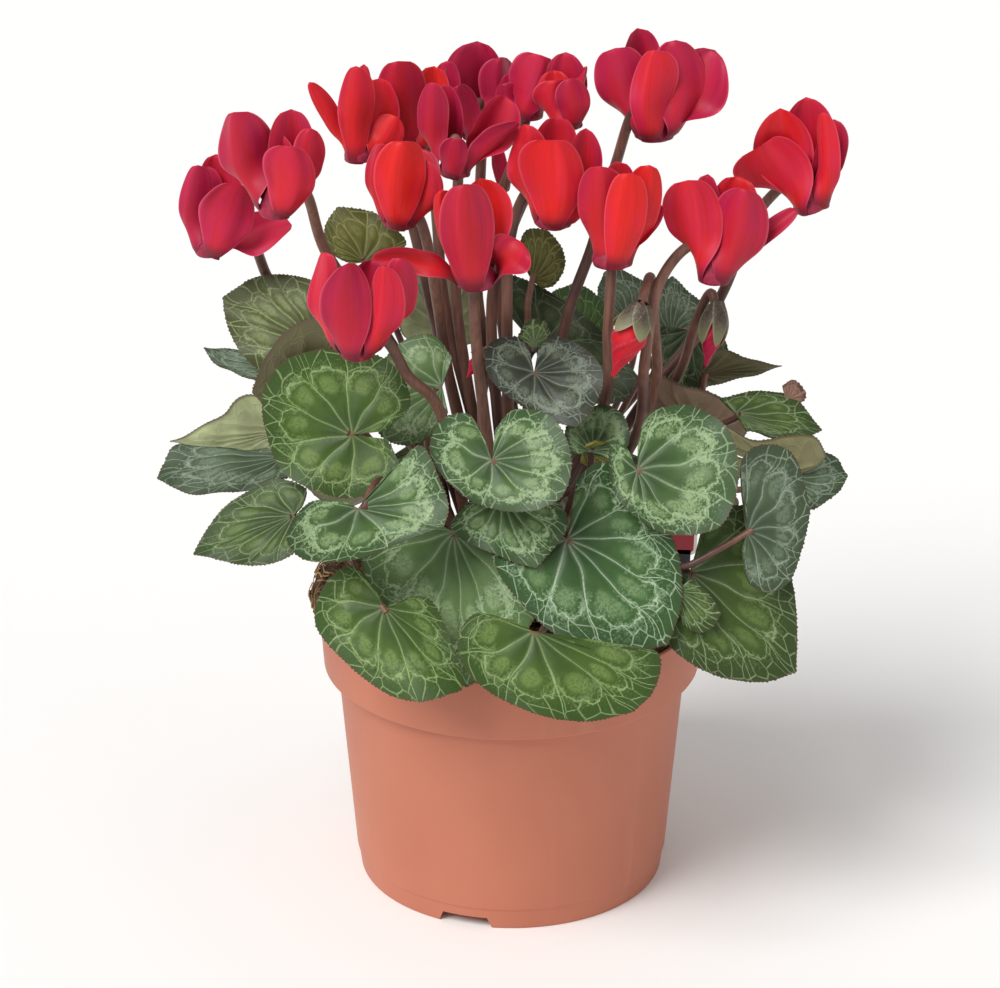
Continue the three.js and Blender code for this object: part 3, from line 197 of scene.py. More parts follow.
# Leaves: name, where the petiole joins (across, down, depth), the way the upper face looks,
# tip, left margin and right margin from the tip back to the notch, the relief as (dish, fold,
# wave, phase) in hundredths, hundredths, tenths of a millimetre and degrees, then the look.
LEAVES = (
    ("leaf_01", (316, 345, -4), (-20, -85, 45), (223, 297),
     ((250, 279), (285, 275), (322, 286), (340, 318)),
     ((230, 332), (246, 358), (272, 377), (300, 374)), (-8, 0, 8, 0), "olive_net"),
    ("leaf_02", (276, 371, 16), (-10, -45, 85), (204, 348),
     ((225, 348), (250, 349), (274, 360)),
     ((214, 362), (236, 373), (264, 384)), (0, 0, 4, 0), "grey"),
    ("leaf_03", (352, 435, -44), (-8, -88, 40), (262, 393),
     ((285, 361), (335, 349), (390, 362), (410, 403), (384, 431)),
     ((266, 430), (285, 474), (348, 498), (397, 473), (387, 439)), (6, 0, 8, 40), "fresh"),
    ("leaf_04", (442, 386, -14), (-10, -80, 58), (373, 404),
     ((382, 366), (404, 341), (434, 336), (452, 358)),
     ((380, 434), (406, 445), (432, 434), (448, 412)), (0, 10, 8, 0), "frost"),
    ("leaf_05", (358, 508, -70), (0, -78, 62), (444, 526),
     ((448, 505), (438, 476), (422, 446), (402, 457), (374, 488)),
     ((400, 542), (355, 559), (306, 559), (287, 536), (309, 503), (342, 501)), (14, 18, 6, 90),
     "silver"),
    ("leaf_06", (294, 515, -50), (-25, -68, 68), (193, 554),
     ((206, 530), (235, 499), (272, 480), (304, 487), (302, 506)),
     ((222, 560), (256, 565), (292, 554), (310, 532)), (-8, 6, 6, 0), "mid"),
    ("leaf_07", (284, 456, -26), (-5, -50, 85), (157, 478),
     ((163, 461), (180, 446), (225, 449), (266, 447)),
     ((176, 489), (212, 492), (256, 487), (288, 476)), (-6, 0, 8, 0), "grey"),
    ("leaf_08", (282, 430, -10), (-5, 80, 35), (170, 441),
     ((195, 430), (222, 414), (238, 400), (262, 397), (282, 408)),
     ((195, 450), (232, 454), (268, 452)), (6, 0, 8, 0), "pale_back"),
    ("leaf_09", (384, 607, -76), (-8, -88, 45), (421, 702),
     ((388, 694), (348, 664), (316, 625), (325, 585), (352, 566), (377, 592)),
     ((446, 695), (463, 683), (446, 630), (430, 600), (412, 597), (394, 606)), (4, -22, 6, 0),
     "fresh"),
    ("leaf_10", (454, 532, -52), (-5, -88, 45), (467, 687),
     ((425, 660), (384, 610), (362, 560), (385, 525), (425, 516)),
     ((503, 660), (537, 610), (532, 560), (505, 527), (478, 518)), (-6, 16, 8, 0), "frost"),
    ("leaf_11", (533, 631, -86), (8, -85, 52), (632, 712),
     ((585, 721), (535, 713), (478, 683), (458, 645), (475, 614), (514, 621)),
     ((652, 693), (661, 665), (650, 649), (602, 651), (562, 640)), (-6, 4, 8, 0), "fresh"),
    ("leaf_12", (567, 539, -60), (8, -80, 58), (668, 644),
     ((620, 651), (560, 636), (512, 592), (492, 552), (512, 520), (548, 522)),
     ((681, 602), (677, 550), (645, 500), (605, 463), (577, 478)), (-8, 10, 8, 0), "shiny"),
    ("leaf_13", (492, 460, -64), (-5, -82, 58), (537, 510),
     ((500, 510), (462, 494), (431, 456), (440, 422), (468, 414), (485, 440)),
     ((562, 496), (571, 458), (552, 417), (515, 410), (495, 430)), (8, 0, 6, 30), "silver"),
    ("leaf_14", (500, 498, -57), (-5, -82, 58), (536, 568),
     ((500, 556), (453, 532), (464, 506), (482, 490)),
     ((556, 545), (568, 522), (555, 500), (530, 490)), (-4, 0, 6, 0), "silver"),
    ("leaf_15", (534, 372, -26), (-5, -76, 65), (576, 427),
     ((545, 417), (510, 397), (487, 371), (491, 343), (518, 337), (530, 352)),
     ((592, 410), (603, 375), (586, 350), (556, 337), (539, 347)), (16, 0, 6, 0), "slate"),
    ("leaf_16", (637, 470, -54), (8, -85, 50), (690, 535),
     ((655, 530), (620, 500), (609, 465), (613, 441), (628, 449)),
     ((722, 524), (738, 480), (728, 430), (690, 406), (650, 413), (638, 442)), (10, 4, 6, 60),
     "silver"),
    ("leaf_17", (748, 532, -60), (40, -85, 30), (810, 512),
     ((803, 478), (788, 450), (760, 446), (741, 463), (747, 506)),
     ((803, 548), (790, 580), (768, 592), (748, 580), (743, 552)), (12, 0, 4, 0), "grey"),
    ("leaf_18", (690, 572, -58), (10, -86, 42), (796, 672),
     ((797, 630), (791, 577), (772, 530), (742, 506), (708, 518), (697, 551)),
     ((760, 682), (710, 673), (670, 645), (660, 605), (674, 578)), (-8, 14, 8, 0), "mid"),
    ("leaf_19", (676, 590, -64.5), (5, -85, 45), (721, 613),
     ((708, 593), (690, 580)),
     ((712, 627), (698, 632), (682, 624)), (0, 6, 3, 0), "mid"),
    ("leaf_20", (736, 413, -14), (8, -50, 80), (822, 430),
     ((806, 409), (785, 394), (750, 391), (720, 398)),
     ((805, 438), (775, 438), (746, 430)), (-6, 6, 6, 0), "mid"),
    ("leaf_21", (786, 478, -20), (15, -60, 70), (848, 475),
     ((836, 458), (815, 448), (792, 455)),
     ((838, 492), (815, 508), (792, 505)), (-6, 0, 6, 0), "grey"),
    ("leaf_22", (698, 438, 4), (10, 85, 25), (690, 387),
     ((658, 376), (647, 400), (662, 428)),
     ((722, 398), (748, 424), (736, 446)), (10, 0, 6, 0), "mauve_back"),
    ("leaf_23", (700, 372, 20), (5, 80, 15), (782, 366),
     ((754, 360), (726, 350), (704, 350)),
     ((756, 375), (728, 381), (697, 389)), (8, 0, 4, 0), "olive_back"),
    ("leaf_25", (364, 262, 14), (-5, -88, 35), (338, 207),
     ((327, 222), (325, 240), (335, 256), (352, 264)),
     ((372, 212), (392, 226), (406, 243), (392, 256), (376, 262)), (-8, 0, 5, 0), "olive"),
    ("leaf_26", (532, 280, 22), (10, -85, 40), (548, 231),
     ((560, 245), (565, 265), (555, 284), (542, 288)),
     ((530, 229), (521, 240), (523, 264)), (6, 0, 4, 0), "olive"),
    ("leaf_27", (575, 344, 36), (0, -60, 75), (572, 284),
     ((552, 293), (540, 314), (552, 340)),
     ((592, 292), (606, 312), (600, 340)), (0, 10, 4, 0), "plain"),
    ("leaf_28", (636, 326, 46), (0, -60, 75), (604, 272),
     ((598, 290), (602, 312), (618, 326)),
     ((622, 271), (646, 283), (664, 302), (656, 322)), (-6, 0, 6, 0), "grey"),
    ("leaf_29", (672, 336, 40), (0, -75, 60), (672, 276),
     ((659, 286), (649, 306), (656, 330)),
     ((688, 291), (704, 309), (698, 330)), (-8, 0, 6, 0), "grey"),
    ("leaf_30", (444, 326, 38), (0, 80, 25), (440, 268),
     ((416, 275), (402, 300), (402, 332), (428, 346)),
     ((464, 274), (478, 300), (478, 336), (458, 350)), (6, 0, 4, 0), "pale_back"),
    ("leaf_31", (592, 452, -34), (0, -68, 70), (600, 404),
     ((575, 413), (565, 435), (576, 454)),
     ((622, 414), (629, 440), (614, 462)), (10, 0, 4, 0), "silver"),
    ("leaf_32", (536, 346, 15), (0, -80, 50), (638, 376),
     ((608, 338), (566, 302), (525, 280), (500, 276), (505, 310)),
     ((625, 400), (580, 402), (540, 382)), (8, 0, 5, 0), "dark"),
    ("leaf_33", (326, 388, -26), (5, 85, 25), (252, 392),
     ((264, 361), (285, 333), (318, 317), (346, 330)),
     ((264, 404), (285, 416), (312, 416)), (8, 0, 4, 0), "brown_back"),
    ("leaf_34", (690, 330, 30), (5, -85, 40), (702, 388),
     ((665, 382), (654, 352), (662, 326)),
     ((720, 376), (727, 346), (712, 324)), (0, 0, 4, 0), "dark"),
)

# Turned-over or torn bits of a blade: the leaf that they belong to, the point on that blade
# where they start, then the same as for a leaf, from the way the upper face looks on.
FOLDS = (
    ("leaf_34", (672, 358), (-20, -82, 40), (682, 387),
     ((688, 370), (684, 352), (676, 346)), ((664, 385), (652, 374), (652, 358)), (0, 0, 2, 0),
     "fresh"),
    ("leaf_21", (788, 470), (5, 80, 35), (826, 456),
     ((815, 437), (785, 436), (752, 440), (720, 424), (717, 446)),
     ((816, 467), (800, 473), (784, 480), (755, 482), (726, 468), (717, 450)), (2, 0, 2, 0),
     "khaki_back"),
    ("leaf_20", (786, 400), (-10, -80, 40), (806, 392),
     ((794, 380), (782, 386)), ((804, 400), (795, 405)), (0, 0, 3, 0), "dry"),
    ("leaf_31", (584, 444), (0, 70, 60), (612, 462),
     ((610, 446), (596, 440)), ((596, 468), (580, 462)), (0, 0, 2, 0), "yellow"),
    ("leaf_22", (662, 404), (-20, -80, 40), (652, 374),
     ((645, 386), (650, 400)), ((661, 376), (665, 392)), (0, 0, 2, 0), "dry"),
    ("leaf_15", (532, 348), (0, -80, 50), (546, 322),
     ((530, 320), (518, 336)), ((550, 334), (544, 346)), (0, 0, 2, 0), "mid"),
)

# Points that a petiole passes on its way, where it shows between the blades.
PETIOLE_MARKS = {
    "leaf_04": ((427, 440, -13),),
    "leaf_05": ((382, 480, -56), (368, 496, -66)),
    "leaf_09": ((350, 552, -60),),
    "leaf_11": ((556, 600, -62), (543, 630, -74)),
    "leaf_17": ((622, 478, -18), (645, 535, -44), (668, 564, -55), (686, 566, -61),
                (716, 551, -61)),
    "leaf_19": ((636, 575, -57), (658, 590, -64)),
    "leaf_23": ((692, 425, 20),),
    "leaf_26": ((528, 335, 7), (528, 303, 15)),
    "leaf_33": ((358, 442, -24),),
}

# Leaves behind the others, in their own plane: name, join, the way the upper face looks, the
# way the tip points, length and half width, relief, look.
BACK_LEAVES = (
    ("leaf_35", (-42, 42, 138), (-25, 60, 75), (-40, 70, -55), 46, 30, (-6, 8, 8, 0), "mid"),
    ("leaf_36", (6, 52, 130), (5, 72, 68), (5, 60, -60), 48, 32, (-6, 6, 8, 50), "silver"),
    ("leaf_37", (50, 42, 134), (40, 55, 70), (60, 50, -45), 44, 29, (-8, 8, 8, 90), "fresh"),
)

# Right half of a round leaf from the tip back to the notch, in half widths and lengths.
HEART = ((0.52, 0.8), (0.92, 0.42), (0.98, 0), (0.66, -0.32), (0.2, -0.28))

# Blooms: name, nose (across, down, depth), the way the flower opens, radius of the ring that
# the petals fold over, points that the stem passes, the petals as (azimuth, tip across, tip
# down, depth past the nose, half width, turn, bow, lift), then how pink the bloom is.
BLOOMS = (
    ("bloom_01", (212, 253, 6), (-0.1, -0.05, 1), 5.2,
     ((352, 420, 0), (300, 330, 14), (268, 278, 18), (250, 240, 11)), (
         (-80, 198, 165, -1, 5, 20, 2, 0), (-140, 209, 166, 7, 6, 10, 0, 0),
         (150, 216, 154, 9, 7, 0, 2, 0), (5, 239, 184, -7, 9, -15, 3, 0),
         (92, 292, 225, 5, 7.3, 10, -3, 0)), 0.9),
    ("bloom_02", (276, 214, -34), (0, -0.1, 1), 5.2,
     ((402, 362, 2), (326, 252, -10), (304, 190, -24)), (
         (-95, 234, 112, 0, 8.5, 20, 2, 0), (-165, 268, 129, 8, 10, 0, 2, 0),
         (25, 290, 146, -8, 8, 0, 3, 0), (120, 291, 109, 7, 7, 10, 1, 0),
         (80, 311, 128, 1, 5.6, -25, 3, 0)), 0.45),
    ("bloom_03", (360, 160, 4), (-0.1, 0, 1), 4.8,
     ((430, 300, 10), (405, 200, 10), (375, 140, 12)), (
         (-85, 309, 82, 2, 3, 10, -2, 0), (-15, 356, 66, -3, 5.8, 0, 0, 0),
         (-170, 364, 64, 8, 3, 0, 0, 0), (110, 381, 78, 5, 5.5, 0, 2, 0),
         (60, 396, 116, 0, 5.5, 0, 0, 0)), 0.15),
    ("bloom_04", (400, 225, -30), (0, -0.1, 1), 5.2,
     ((448, 372, 4), (437, 300, -4), (422, 225, -18), (408, 200, -22)), (
         (-85, 380, 143, -1, 5, 25, 2, 0), (-10, 404, 141, -7, 8, 0, 3, 0),
         (60, 427, 160, -2, 5.5, 10, 2, 0), (125, 420, 148, 7, 6.5, 0, 0, 0),
         (-160, 392, 146, 8, 7, 0, 0, 0)), 0.2),
    ("bloom_05", (478, 138, 28), (0, 0, 1), 5,
     ((478, 300, 22), (480, 190, 30), (482, 130, 36)), (
         (-90, 446, 61, 0, 5, 20, 3, 0), (-165, 477, 41, 6, 9.5, 0, 2, 0),
         (100, 502, 57, 2, 8, -20, 3, 0), (-20, 458, 85, -8, 5, 0, 0, 0),
         (60, 506, 193, -2, 2.6, 20, 0, 0)), 0.9),
    ("bloom_06", (455, 174, -4), (0, -0.1, 1), 5,
     ((456, 300, 4), (457, 220, 5), (458, 165, 6)), (
         (-90, 432, 82, 0, 5.5, 20, 2, 0), (-150, 448, 84, 6, 6, 0, 2, 0),
         (-15, 457, 138, -7, 4.5, 0, 2, 0), (115, 506, 96, 6, 7, -20, 1, 0),
         (65, 520, 124, -2, 4.6, -40, -2, 0)), 0.55),
    ("bloom_07", (529, 118, 22), (0, 0, 1), 4.5,
     ((500, 300, 14), (495, 215, 13), (512, 165, 16), (528, 110, 30)), (
         (-30, 541, 55, -4, 7.4, 0, 2, 0), (-90, 502, 84, 0, 4.5, 20, 1, 0),
         (-150, 509, 72, 7, 5, 0, 0, 0), (150, 546, 72, 8, 5.5, 0, 0, 0),
         (80, 546, 90, 2, 5, 0, 0, 0)), 0.85),
    ("bloom_08", (553, 224, -12), (0, -0.1, 1), 5.9,
     ((507, 330, -4), (510, 240, -2), (524, 196, -2), (540, 180, -4)), (
         (0, 552, 140, -7, 10, 0, 4, 0), (-85, 525, 124, 3, 7.4, 10, 1, 0),
         (-170, 556, 116, 9, 7.4, 0, 2, 0), (110, 586, 128, 4, 5.5, -10, 2, 0),
         (60, 580, 172, -2, 5, -20, 3, 0)), 0.25),
    ("bloom_09", (654, 136, 4), (0, -0.1, 1), 6.4,
     ((566, 322, 5), (592, 246, 10), (616, 163, 8), (637, 106, 2)), (
         (-75, 615, 48, 0, 8.8, 15, 1, 0), (-150, 637, 28, 8, 7.2, 0, 1, 0),
         (-12, 656, 50, -8, 7, 0, 4, 0), (55, 676, 40, -1, 8.5, -10, 4, 0),
         (95, 715, 50, 4, 9.2, -10, 0.5, 0)), 0.7),
    ("bloom_10", (813, 207, 0), (-0.35, -0.1, 0.9), 6,
     ((644, 400, 11), (700, 332, 15), (724, 290, 14), (756, 215, 12), (790, 178, 8)), (
         (-50, 762, 145, -6, 11, 0, 0, 0), (-130, 780, 108, 2, 9.4, 0, 2, 0),
         (180, 806, 97, 8, 8.4, 0, 2, 0), (110, 834, 119, 4, 5.2, -10, -1.5, 0),
         (35, 823, 112, -3, 4.5, 40, 1, 0)), 0.5),
    ("bloom_11", (612, 263, -26), (0, -0.1, 1), 6.4,
     ((604, 405, -12), (608, 330, -14), (612, 262, -16)), (
         (-50, 600, 166, -3, 8.2, 10, -1, 0), (10, 629, 173, -7, 6.5, 0, 3, 0),
         (60, 650, 165, -2, 6.2, -10, 0, 0), (105, 660, 203, 4, 4.2, 20, -1.5, 0),
         (180, 616, 161, 8, 7, 0, 0, 0)), 0.2),
    ("bloom_12", (714, 280, -20), (0, -0.1, 1), 5.2,
     ((634, 440, -10), (645, 359, -22), (660, 282, -18), (686, 248, -16)), (
         (-75, 688, 180, -1, 9.4, 10, 0, 0), (-160, 708, 174, 8, 5, 0, 0, 0),
         (140, 739, 176, 6, 8, 0, 1, 0), (30, 746, 189, -6, 9, 10, 1, 0),
         (90, 797, 209, 2, 3.4, 30, -2, 0)), 0.45),
    ("bloom_13", (476, 282, -42), (0, -0.25, 1), 6.4,
     ((478, 362, -22), (474, 290, -30), (476, 262, -33)), (
         (-85, 371, 259, 2, 4.2, 20, 0, 4), (-10, 465, 184, -7, 8.5, 0, 2, 0),
         (-50, 441, 190, -4, 4, 30, 1, 0), (150, 479, 178, 5, 8.4, 0, 2, 0),
         (80, 522, 242, -1, 7.2, 0, 1, 3)), 0.15),
    ("bloom_14", (357, 355, -60), (0, -0.1, 1), 5.4,
     ((437, 405, -36), (408, 376, -46), (390, 345, -52)), (
         (-85, 325, 252, 0, 5.6, 20, 4, 0), (-20, 348, 263, -7, 8, 0, 3, 0),
         (45, 385, 266, -5, 5.5, 20, 3, 0), (85, 402, 258, 1, 5.6, -10, 4, 0),
         (170, 372, 259, 8, 8, 0, 2, 0)), 0.6),
    ("bloom_15", (408, 152, 16), (0, 0, 1), 4.5,
     ((444, 300, 11), (437, 222, 16), (430, 150, 20)), (
         (-60, 386, 112, -3, 6.5, 0, 0, 0), (-10, 398, 61, -5, 8, 0, 0, 0),
         (180, 410, 69, 9, 6, 0, 0, 0), (110, 434, 66, 6, 6, 0, 1, 0),
         (60, 422, 106, 2, 5, 0, 3, 0)), 0.25),
    ("bloom_16", (568, 127, 10), (0, 0, 1), 4.5,
     ((492, 300, 4), (509, 236, 6), (527, 194, 10), (556, 140, 18)), (
         (-60, 556, 80, -3, 6.5, 10, 2, 0), (20, 570, 78, -5, 5.5, 0, 2, 0),
         (180, 566, 52, 7, 6.6, 0, 1, 0), (90, 587, 66, 2, 2.6, 60, -1, 0),
         (-120, 554, 70, 6, 5.5, 0, 0, 0)), 0.5),
)

# Buds: name, points that the stem passes, where the bud starts and ends, its radius, the share
# of its length that the sepals wrap, then how pink it is.
BUDS = (
    ("bud_01", ((652, 400, -2), (654, 320, -10), (650, 277, -16)),
     (642, 306, -28), (613, 376, -28), 5.2, 0.42, 0.2),
    ("bud_02", ((640, 430, 4), (669, 391, 10), (684, 362, 8), (696, 322, 5), (711, 293, 2)),
     (718, 303, -2), (706, 366, -5), 3.8, 0.7, 0.8),
    ("bud_03", ((482, 400, -12), (489, 350, -12)),
     (484, 352, -14), (467, 378, -18), 2.2, 0.35, 0.6),
)

# Leaf looks: centre, field and outer green, veins, blotches, silver, share of silver, underside,
# underside veins and roughness. The ones that show their underside share one upper face.
UPPER_FACE = ("#3f5a30", "#4b6434", "#3f5028", "#8c9e76", "#677b4a", "#72855a", 0.3)
LOOKS = {
    "fresh": ("#30461a", "#425c1c", "#344d18", "#90a66c", "#6c8244", "#7a9056", 0.5,
              "#6f7a46", "#98926a", 0.36),
    "mid": ("#2b3f15", "#3d521c", "#314318", "#869870", "#5c733a", "#687d48", 0.4,
            "#66703f", "#8e8660", 0.4),
    "silver": ("#2f4524", "#446030", "#36502a", "#9ab088", "#7e9666", "#8aa274", 1.0,
               "#6f7a4c", "#968f6c", 0.36),
    "shiny": ("#2a4620", "#3f6030", "#36542c", "#b4c8a8", "#708c5e", "#88a27c", 0.7,
              "#66703f", "#968f6c", 0.28),
    "grey": ("#33442c", "#48593e", "#3c4c34", "#8f9e88", "#6a7b64", "#7a8975", 0.7,
             "#626c4c", "#868060", 0.44),
    "slate": ("#272e22", "#3c4436", "#333a2e", "#8a9585", "#68735f", "#76826f", 0.95,
              "#565e42", "#7a735a", 0.34),
    "olive_net": ("#3e441a", "#525a2a", "#434a22", "#94a176", "#75824e", "#818e5e", 0.45,
                  "#6a7446", "#968f6c", 0.4),
    "olive": ("#4c4c1c", "#5c5e26", "#4c4e20", "#8e9058", "#74763e", "#7e804a", 0.35,
              "#6a7446", "#968f6c", 0.45),
    "plain": ("#2d4a17", "#37561c", "#2d4818", "#6f8a52", "#456428", "#52703a", 0.15,
              "#66703f", "#8e8660", 0.4),
    # Painted shade: the dark look is the leaf colours dimmed all over, for back leaves that sit in the
    # shade of the others.
    "dark": ("#222f16", "#374826", "#2d3c1e", "#728066", "#4c5e3c", "#5a6a4c", 0.5,
             "#4e5a38", "#726a48", 0.44),
    "yellow": ("#9c9c3e", "#acac4a", "#94943c", "#bcba68", "#b0b054", "#b2b25c", 0.2,
               "#b6b650", "#c6c26a", 0.5),
    "frost": ("#4a663a", "#68864e", "#567242", "#b0c69e", "#94ae7e", "#9eb68a", 1.0,
              "#6f7a4c", "#968f6c", 0.36),
    "khaki_back": (*UPPER_FACE, "#8e8a60", "#a09c70", 0.58),
    "dry": ("#6b4b3e", "#7e5c4e", "#5c4236", "#957868", "#866858", "#8c7060", 0.2,
            "#7e5c4e", "#957868", 0.8),
    "pale_back": (*UPPER_FACE, "#b6c08e", "#c2caa0", 0.62),
    "mauve_back": (*UPPER_FACE, "#957a64", "#a08a74", 0.58),
    "olive_back": (*UPPER_FACE, "#625c3c", "#7c7850", 0.58),
    "brown_back": (*UPPER_FACE, "#55502f", "#6b6648", 0.58),
}


# Points in space

def unit(vectors):
    """Vectors divided by their own lengths."""
    vectors = np.asarray(vectors, float)
    return vectors / np.linalg.norm(vectors, axis=-1, keepdims=True)


def rays(marks):
    """Ways from the camera through picture points: focus along the view, pixels across and up."""
    marks = np.asarray(marks, float)
    along = -CAMERA_FOCUS * CAMERA_BACK
    across = (marks[..., 0] - PICTURE[0] / 2)[..., None] * np.array([1.0, 0.0, 0.0])
    return along + across + (PICTURE[1] / 2 - marks[..., 1])[..., None] * CAMERA_UP


def seen(places):
    """Points at (across, down, depth): where the ray through a picture point has that Y."""
    places = np.asarray(places, float)
    ray = rays(places)
    return CAMERA_PLACE + ray * ((places[..., 2] - CAMERA_PLACE[1]) / ray[..., 1])[..., None]


def square_to(vector, way):
    """The share of a vector that is square to a way, as a unit vector."""
    return unit(vector - np.sum(vector * way, axis=-1, keepdims=True) * way)


def facing(axis):
    """The ways to the front and to the right that are square to an axis."""
    front = square_to(np.array([0.0, -1.0, 0.0]), axis)
    return front, np.cross(axis, front)


def turns(sides):
    """Angles of the corners of a regular ring."""
    return 2 * math.pi * np.arange(sides) / sides


def spokes(angle, front, right):
    """Ways that point out from an axis at the given angles from its front."""
    return np.cos(angle)[..., None] * front + np.sin(angle)[..., None] * right


def ease(value, low, high):
    """Smooth step: 3 q squared less 2 q cubed, with q the share of the way from low to high."""
    share = np.clip((value - low) / (high - low), 0, 1)
    return share * share * (3 - 2 * share)


def lumps(points, size, seed, octaves=3):
    """Sum of octaves of twelve sine waves in random directions, each half as large as the last."""
    draw = np.random.default_rng(seed)
    total = np.zeros(points.shape[:-1])
    for octave in range(octaves):
        ways = unit(draw.normal(size=(12, 3))) * (2 * math.pi * 2 ** octave / size)
        shifts = draw.uniform(0, 2 * math.pi, 12)
        total += np.sin(points @ ways.T + shifts).mean(-1) * 2 * 0.5 ** octave
    return total


def run_along(path):
    """Distance of each point of a path from its start, along the path."""
    return np.append(0, np.cumsum(np.linalg.norm(np.diff(path, axis=0), axis=1)))


def evenly(path, count):
    """A flat path taken at a number of points with equal lengths between them."""
    run = run_along(path)
    even = np.linspace(0, run[-1], count)
    return np.stack([np.interp(even, run, path[:, axis]) for axis in (0, 1)], -1)


def hermite(start, end, leave, arrive, share):
    """Cubic curve from start to end that leaves and arrives with the given slopes."""
    return ((2 * start - 2 * end + leave + arrive) * share ** 3
            + (3 * end - 3 * start - 2 * leave - arrive) * share ** 2 + leave * share + start)


def even_spline(corners, steps):
    """Catmull-Rom curve through flat corners, taken at even lengths, and its whole length."""
    corners = np.asarray(corners, float)
    at = np.linspace(0, len(corners) - 1, 401)
    low = np.minimum(at.astype(int), len(corners) - 2)
    share = (at - low)[:, None]
    last = len(corners) - 1
    before, start = corners[np.maximum(low - 1, 0)], corners[low]
    end, after = corners[low + 1], corners[np.minimum(low + 2, last)]
    curve = hermite(start, end, (end - before) / 2, (after - start) / 2, share)
    return evenly(curve, steps + 1), run_along(curve)[-1]


def stem_curve(points, steps):
    """Centripetal Catmull-Rom curve through stem points, straight from the first to the second."""
    points = np.asarray(points, float)
    whole = np.vstack([2 * points[0] - points[1], points, 2 * points[-1] - points[-2]])
    at = np.linspace(1, len(points) - 1, steps + 1)
    low = np.minimum(at.astype(int), len(points) - 2)
    share = (at - low)[:, None]
    before, start, end, after = (whole[low + shift] for shift in range(4))
    first, gap, last = (np.sqrt(np.linalg.norm(b - a, axis=1))[:, None]
                        for a, b in ((before, start), (start, end), (end, after)))
    leave = (start - before) / first - (end - before) / (first + gap) + (end - start) / gap
    arrive = (end - start) / gap - (after - start) / (gap + last) + (after - end) / last
    return np.vstack([points[0], hermite(start, end, leave * gap, arrive * gap, share)])


# Patches and meshes

def patch(grid, slot=0, wrap=False, turn=False, polar=None, flat=None):
    """Quads over a grid of points; wrap joins the last column to the first, turn flips the faces."""
    rows, columns = grid.shape[:2]
    row, column = np.mgrid[0:rows - 1, 0:columns if wrap else columns - 1]
    beside = (column + 1) % columns
    quads = np.stack([row * columns + column, row * columns + beside,
                      (row + 1) * columns + beside, (row + 1) * columns + column], -1).reshape(-1, 4)
    blank = np.zeros(grid.shape)
    return {
        "points": grid.reshape(-1, 3),
        "quads": quads[:, ::-1] if turn else quads,
        "slots": np.full(len(quads), slot),
        "polar": (blank if polar is None else polar).reshape(-1, 3),
        "flat": (blank if flat is None else flat).reshape(-1, 3),
    }


def put_mesh(name, patches, materials, sharp=45):
    """One object from patches: equal points are welded, and corners that meet are dropped."""
    counts = np.cumsum([0] + [len(one["points"]) for one in patches])
    points = np.vstack([one["points"] for one in patches])
    quads = np.vstack([one["quads"] + start for one, start in zip(patches, counts)])
    slots = np.concatenate([one["slots"] for one in patches])
    keys = np.round(points / WELD).astype(np.int64)
    _, first, index = np.unique(keys, axis=0, return_index=True, return_inverse=True)
    corners = index.ravel()[quads]
    keep = corners != np.roll(corners, -1, axis=1)
    sizes = keep.sum(1)
    whole = sizes > 2
    loops = corners[keep & whole[:, None]]
    starts = np.cumsum(sizes[whole]) - sizes[whole]
    mesh = bpy.data.meshes.new(name)
    mesh.vertices.add(len(first))
    mesh.vertices.foreach_set("co", (points[first] * MM).astype(np.float32).ravel())
    mesh.loops.add(len(loops))
    mesh.loops.foreach_set("vertex_index", loops.astype(np.int32))
    mesh.polygons.add(len(starts))
    mesh.polygons.foreach_set("loop_start", starts.astype(np.int32))
    mesh.polygons.foreach_set("material_index", slots[whole].astype(np.int32))
    mesh.polygons.foreach_set("use_smooth", np.ones(len(starts), bool))
    for layer in ("polar", "flat"):
        values = np.vstack([one[layer] for one in patches])[first]
        attribute = mesh.attributes.new(layer, "FLOAT_VECTOR", "POINT")
        attribute.data.foreach_set("vector", values.astype(np.float32).ravel())
    mesh.update(calc_edges=True)
    mesh.set_sharp_from_angle(angle=math.radians(sharp))
    for material in materials:
        mesh.materials.append(material)
    piece = bpy.data.objects.new(name, mesh)
    bpy.context.scene.collection.objects.link(piece)
    return piece


def put_piece(name, patches, materials, node, sharp=45):
    """A piece that rides on the root body and stands for its CAD node, which it hides."""
    piece = put_mesh(name, patches, materials, sharp)
    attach(piece, "root")
    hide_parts(node)
    return piece


def tube(path, radii, sides, slot=0):
    """A round profile carried along a path, with its first side where the path varies least."""
    path = np.asarray(path, float)
    run = run_along(path)
    ways = unit(np.gradient(path, axis=0))
    across = square_to(np.linalg.svd(ways)[2][-1], ways)
    beside = np.cross(ways, across)
    angle = turns(sides)[None, :]
    ring = spokes(angle, across[:, None], beside[:, None])
    grid = path[:, None] + np.broadcast_to(radii, len(path))[:, None, None] * ring
    grid = np.concatenate([np.repeat(path[:1, None], sides, 1), grid, np.repeat(path[-1:, None], sides, 1)])
    run = np.concatenate([run[:1], run, run[-1:]])
    polar = np.stack(np.broadcast_arrays(angle, run[:, None], 0.0), -1)
    return patch(grid, slot, wrap=True, polar=polar)


def turned(outline, ways, axis):
    """A grid of points: an outline of (radius, height) turned through ways round an axis."""
    return outline[:, None, :1] * ways[None] + outline[:, None, 1:] * axis


def lathe(outline, sides):
    """An outline of (radius, height) turned round the Z axis, from the underside to the top."""
    across, beside, up = np.eye(3)
    ways = spokes(turns(sides), across, beside)
    return patch(turned(np.asarray(outline, float), ways, up), wrap=True)


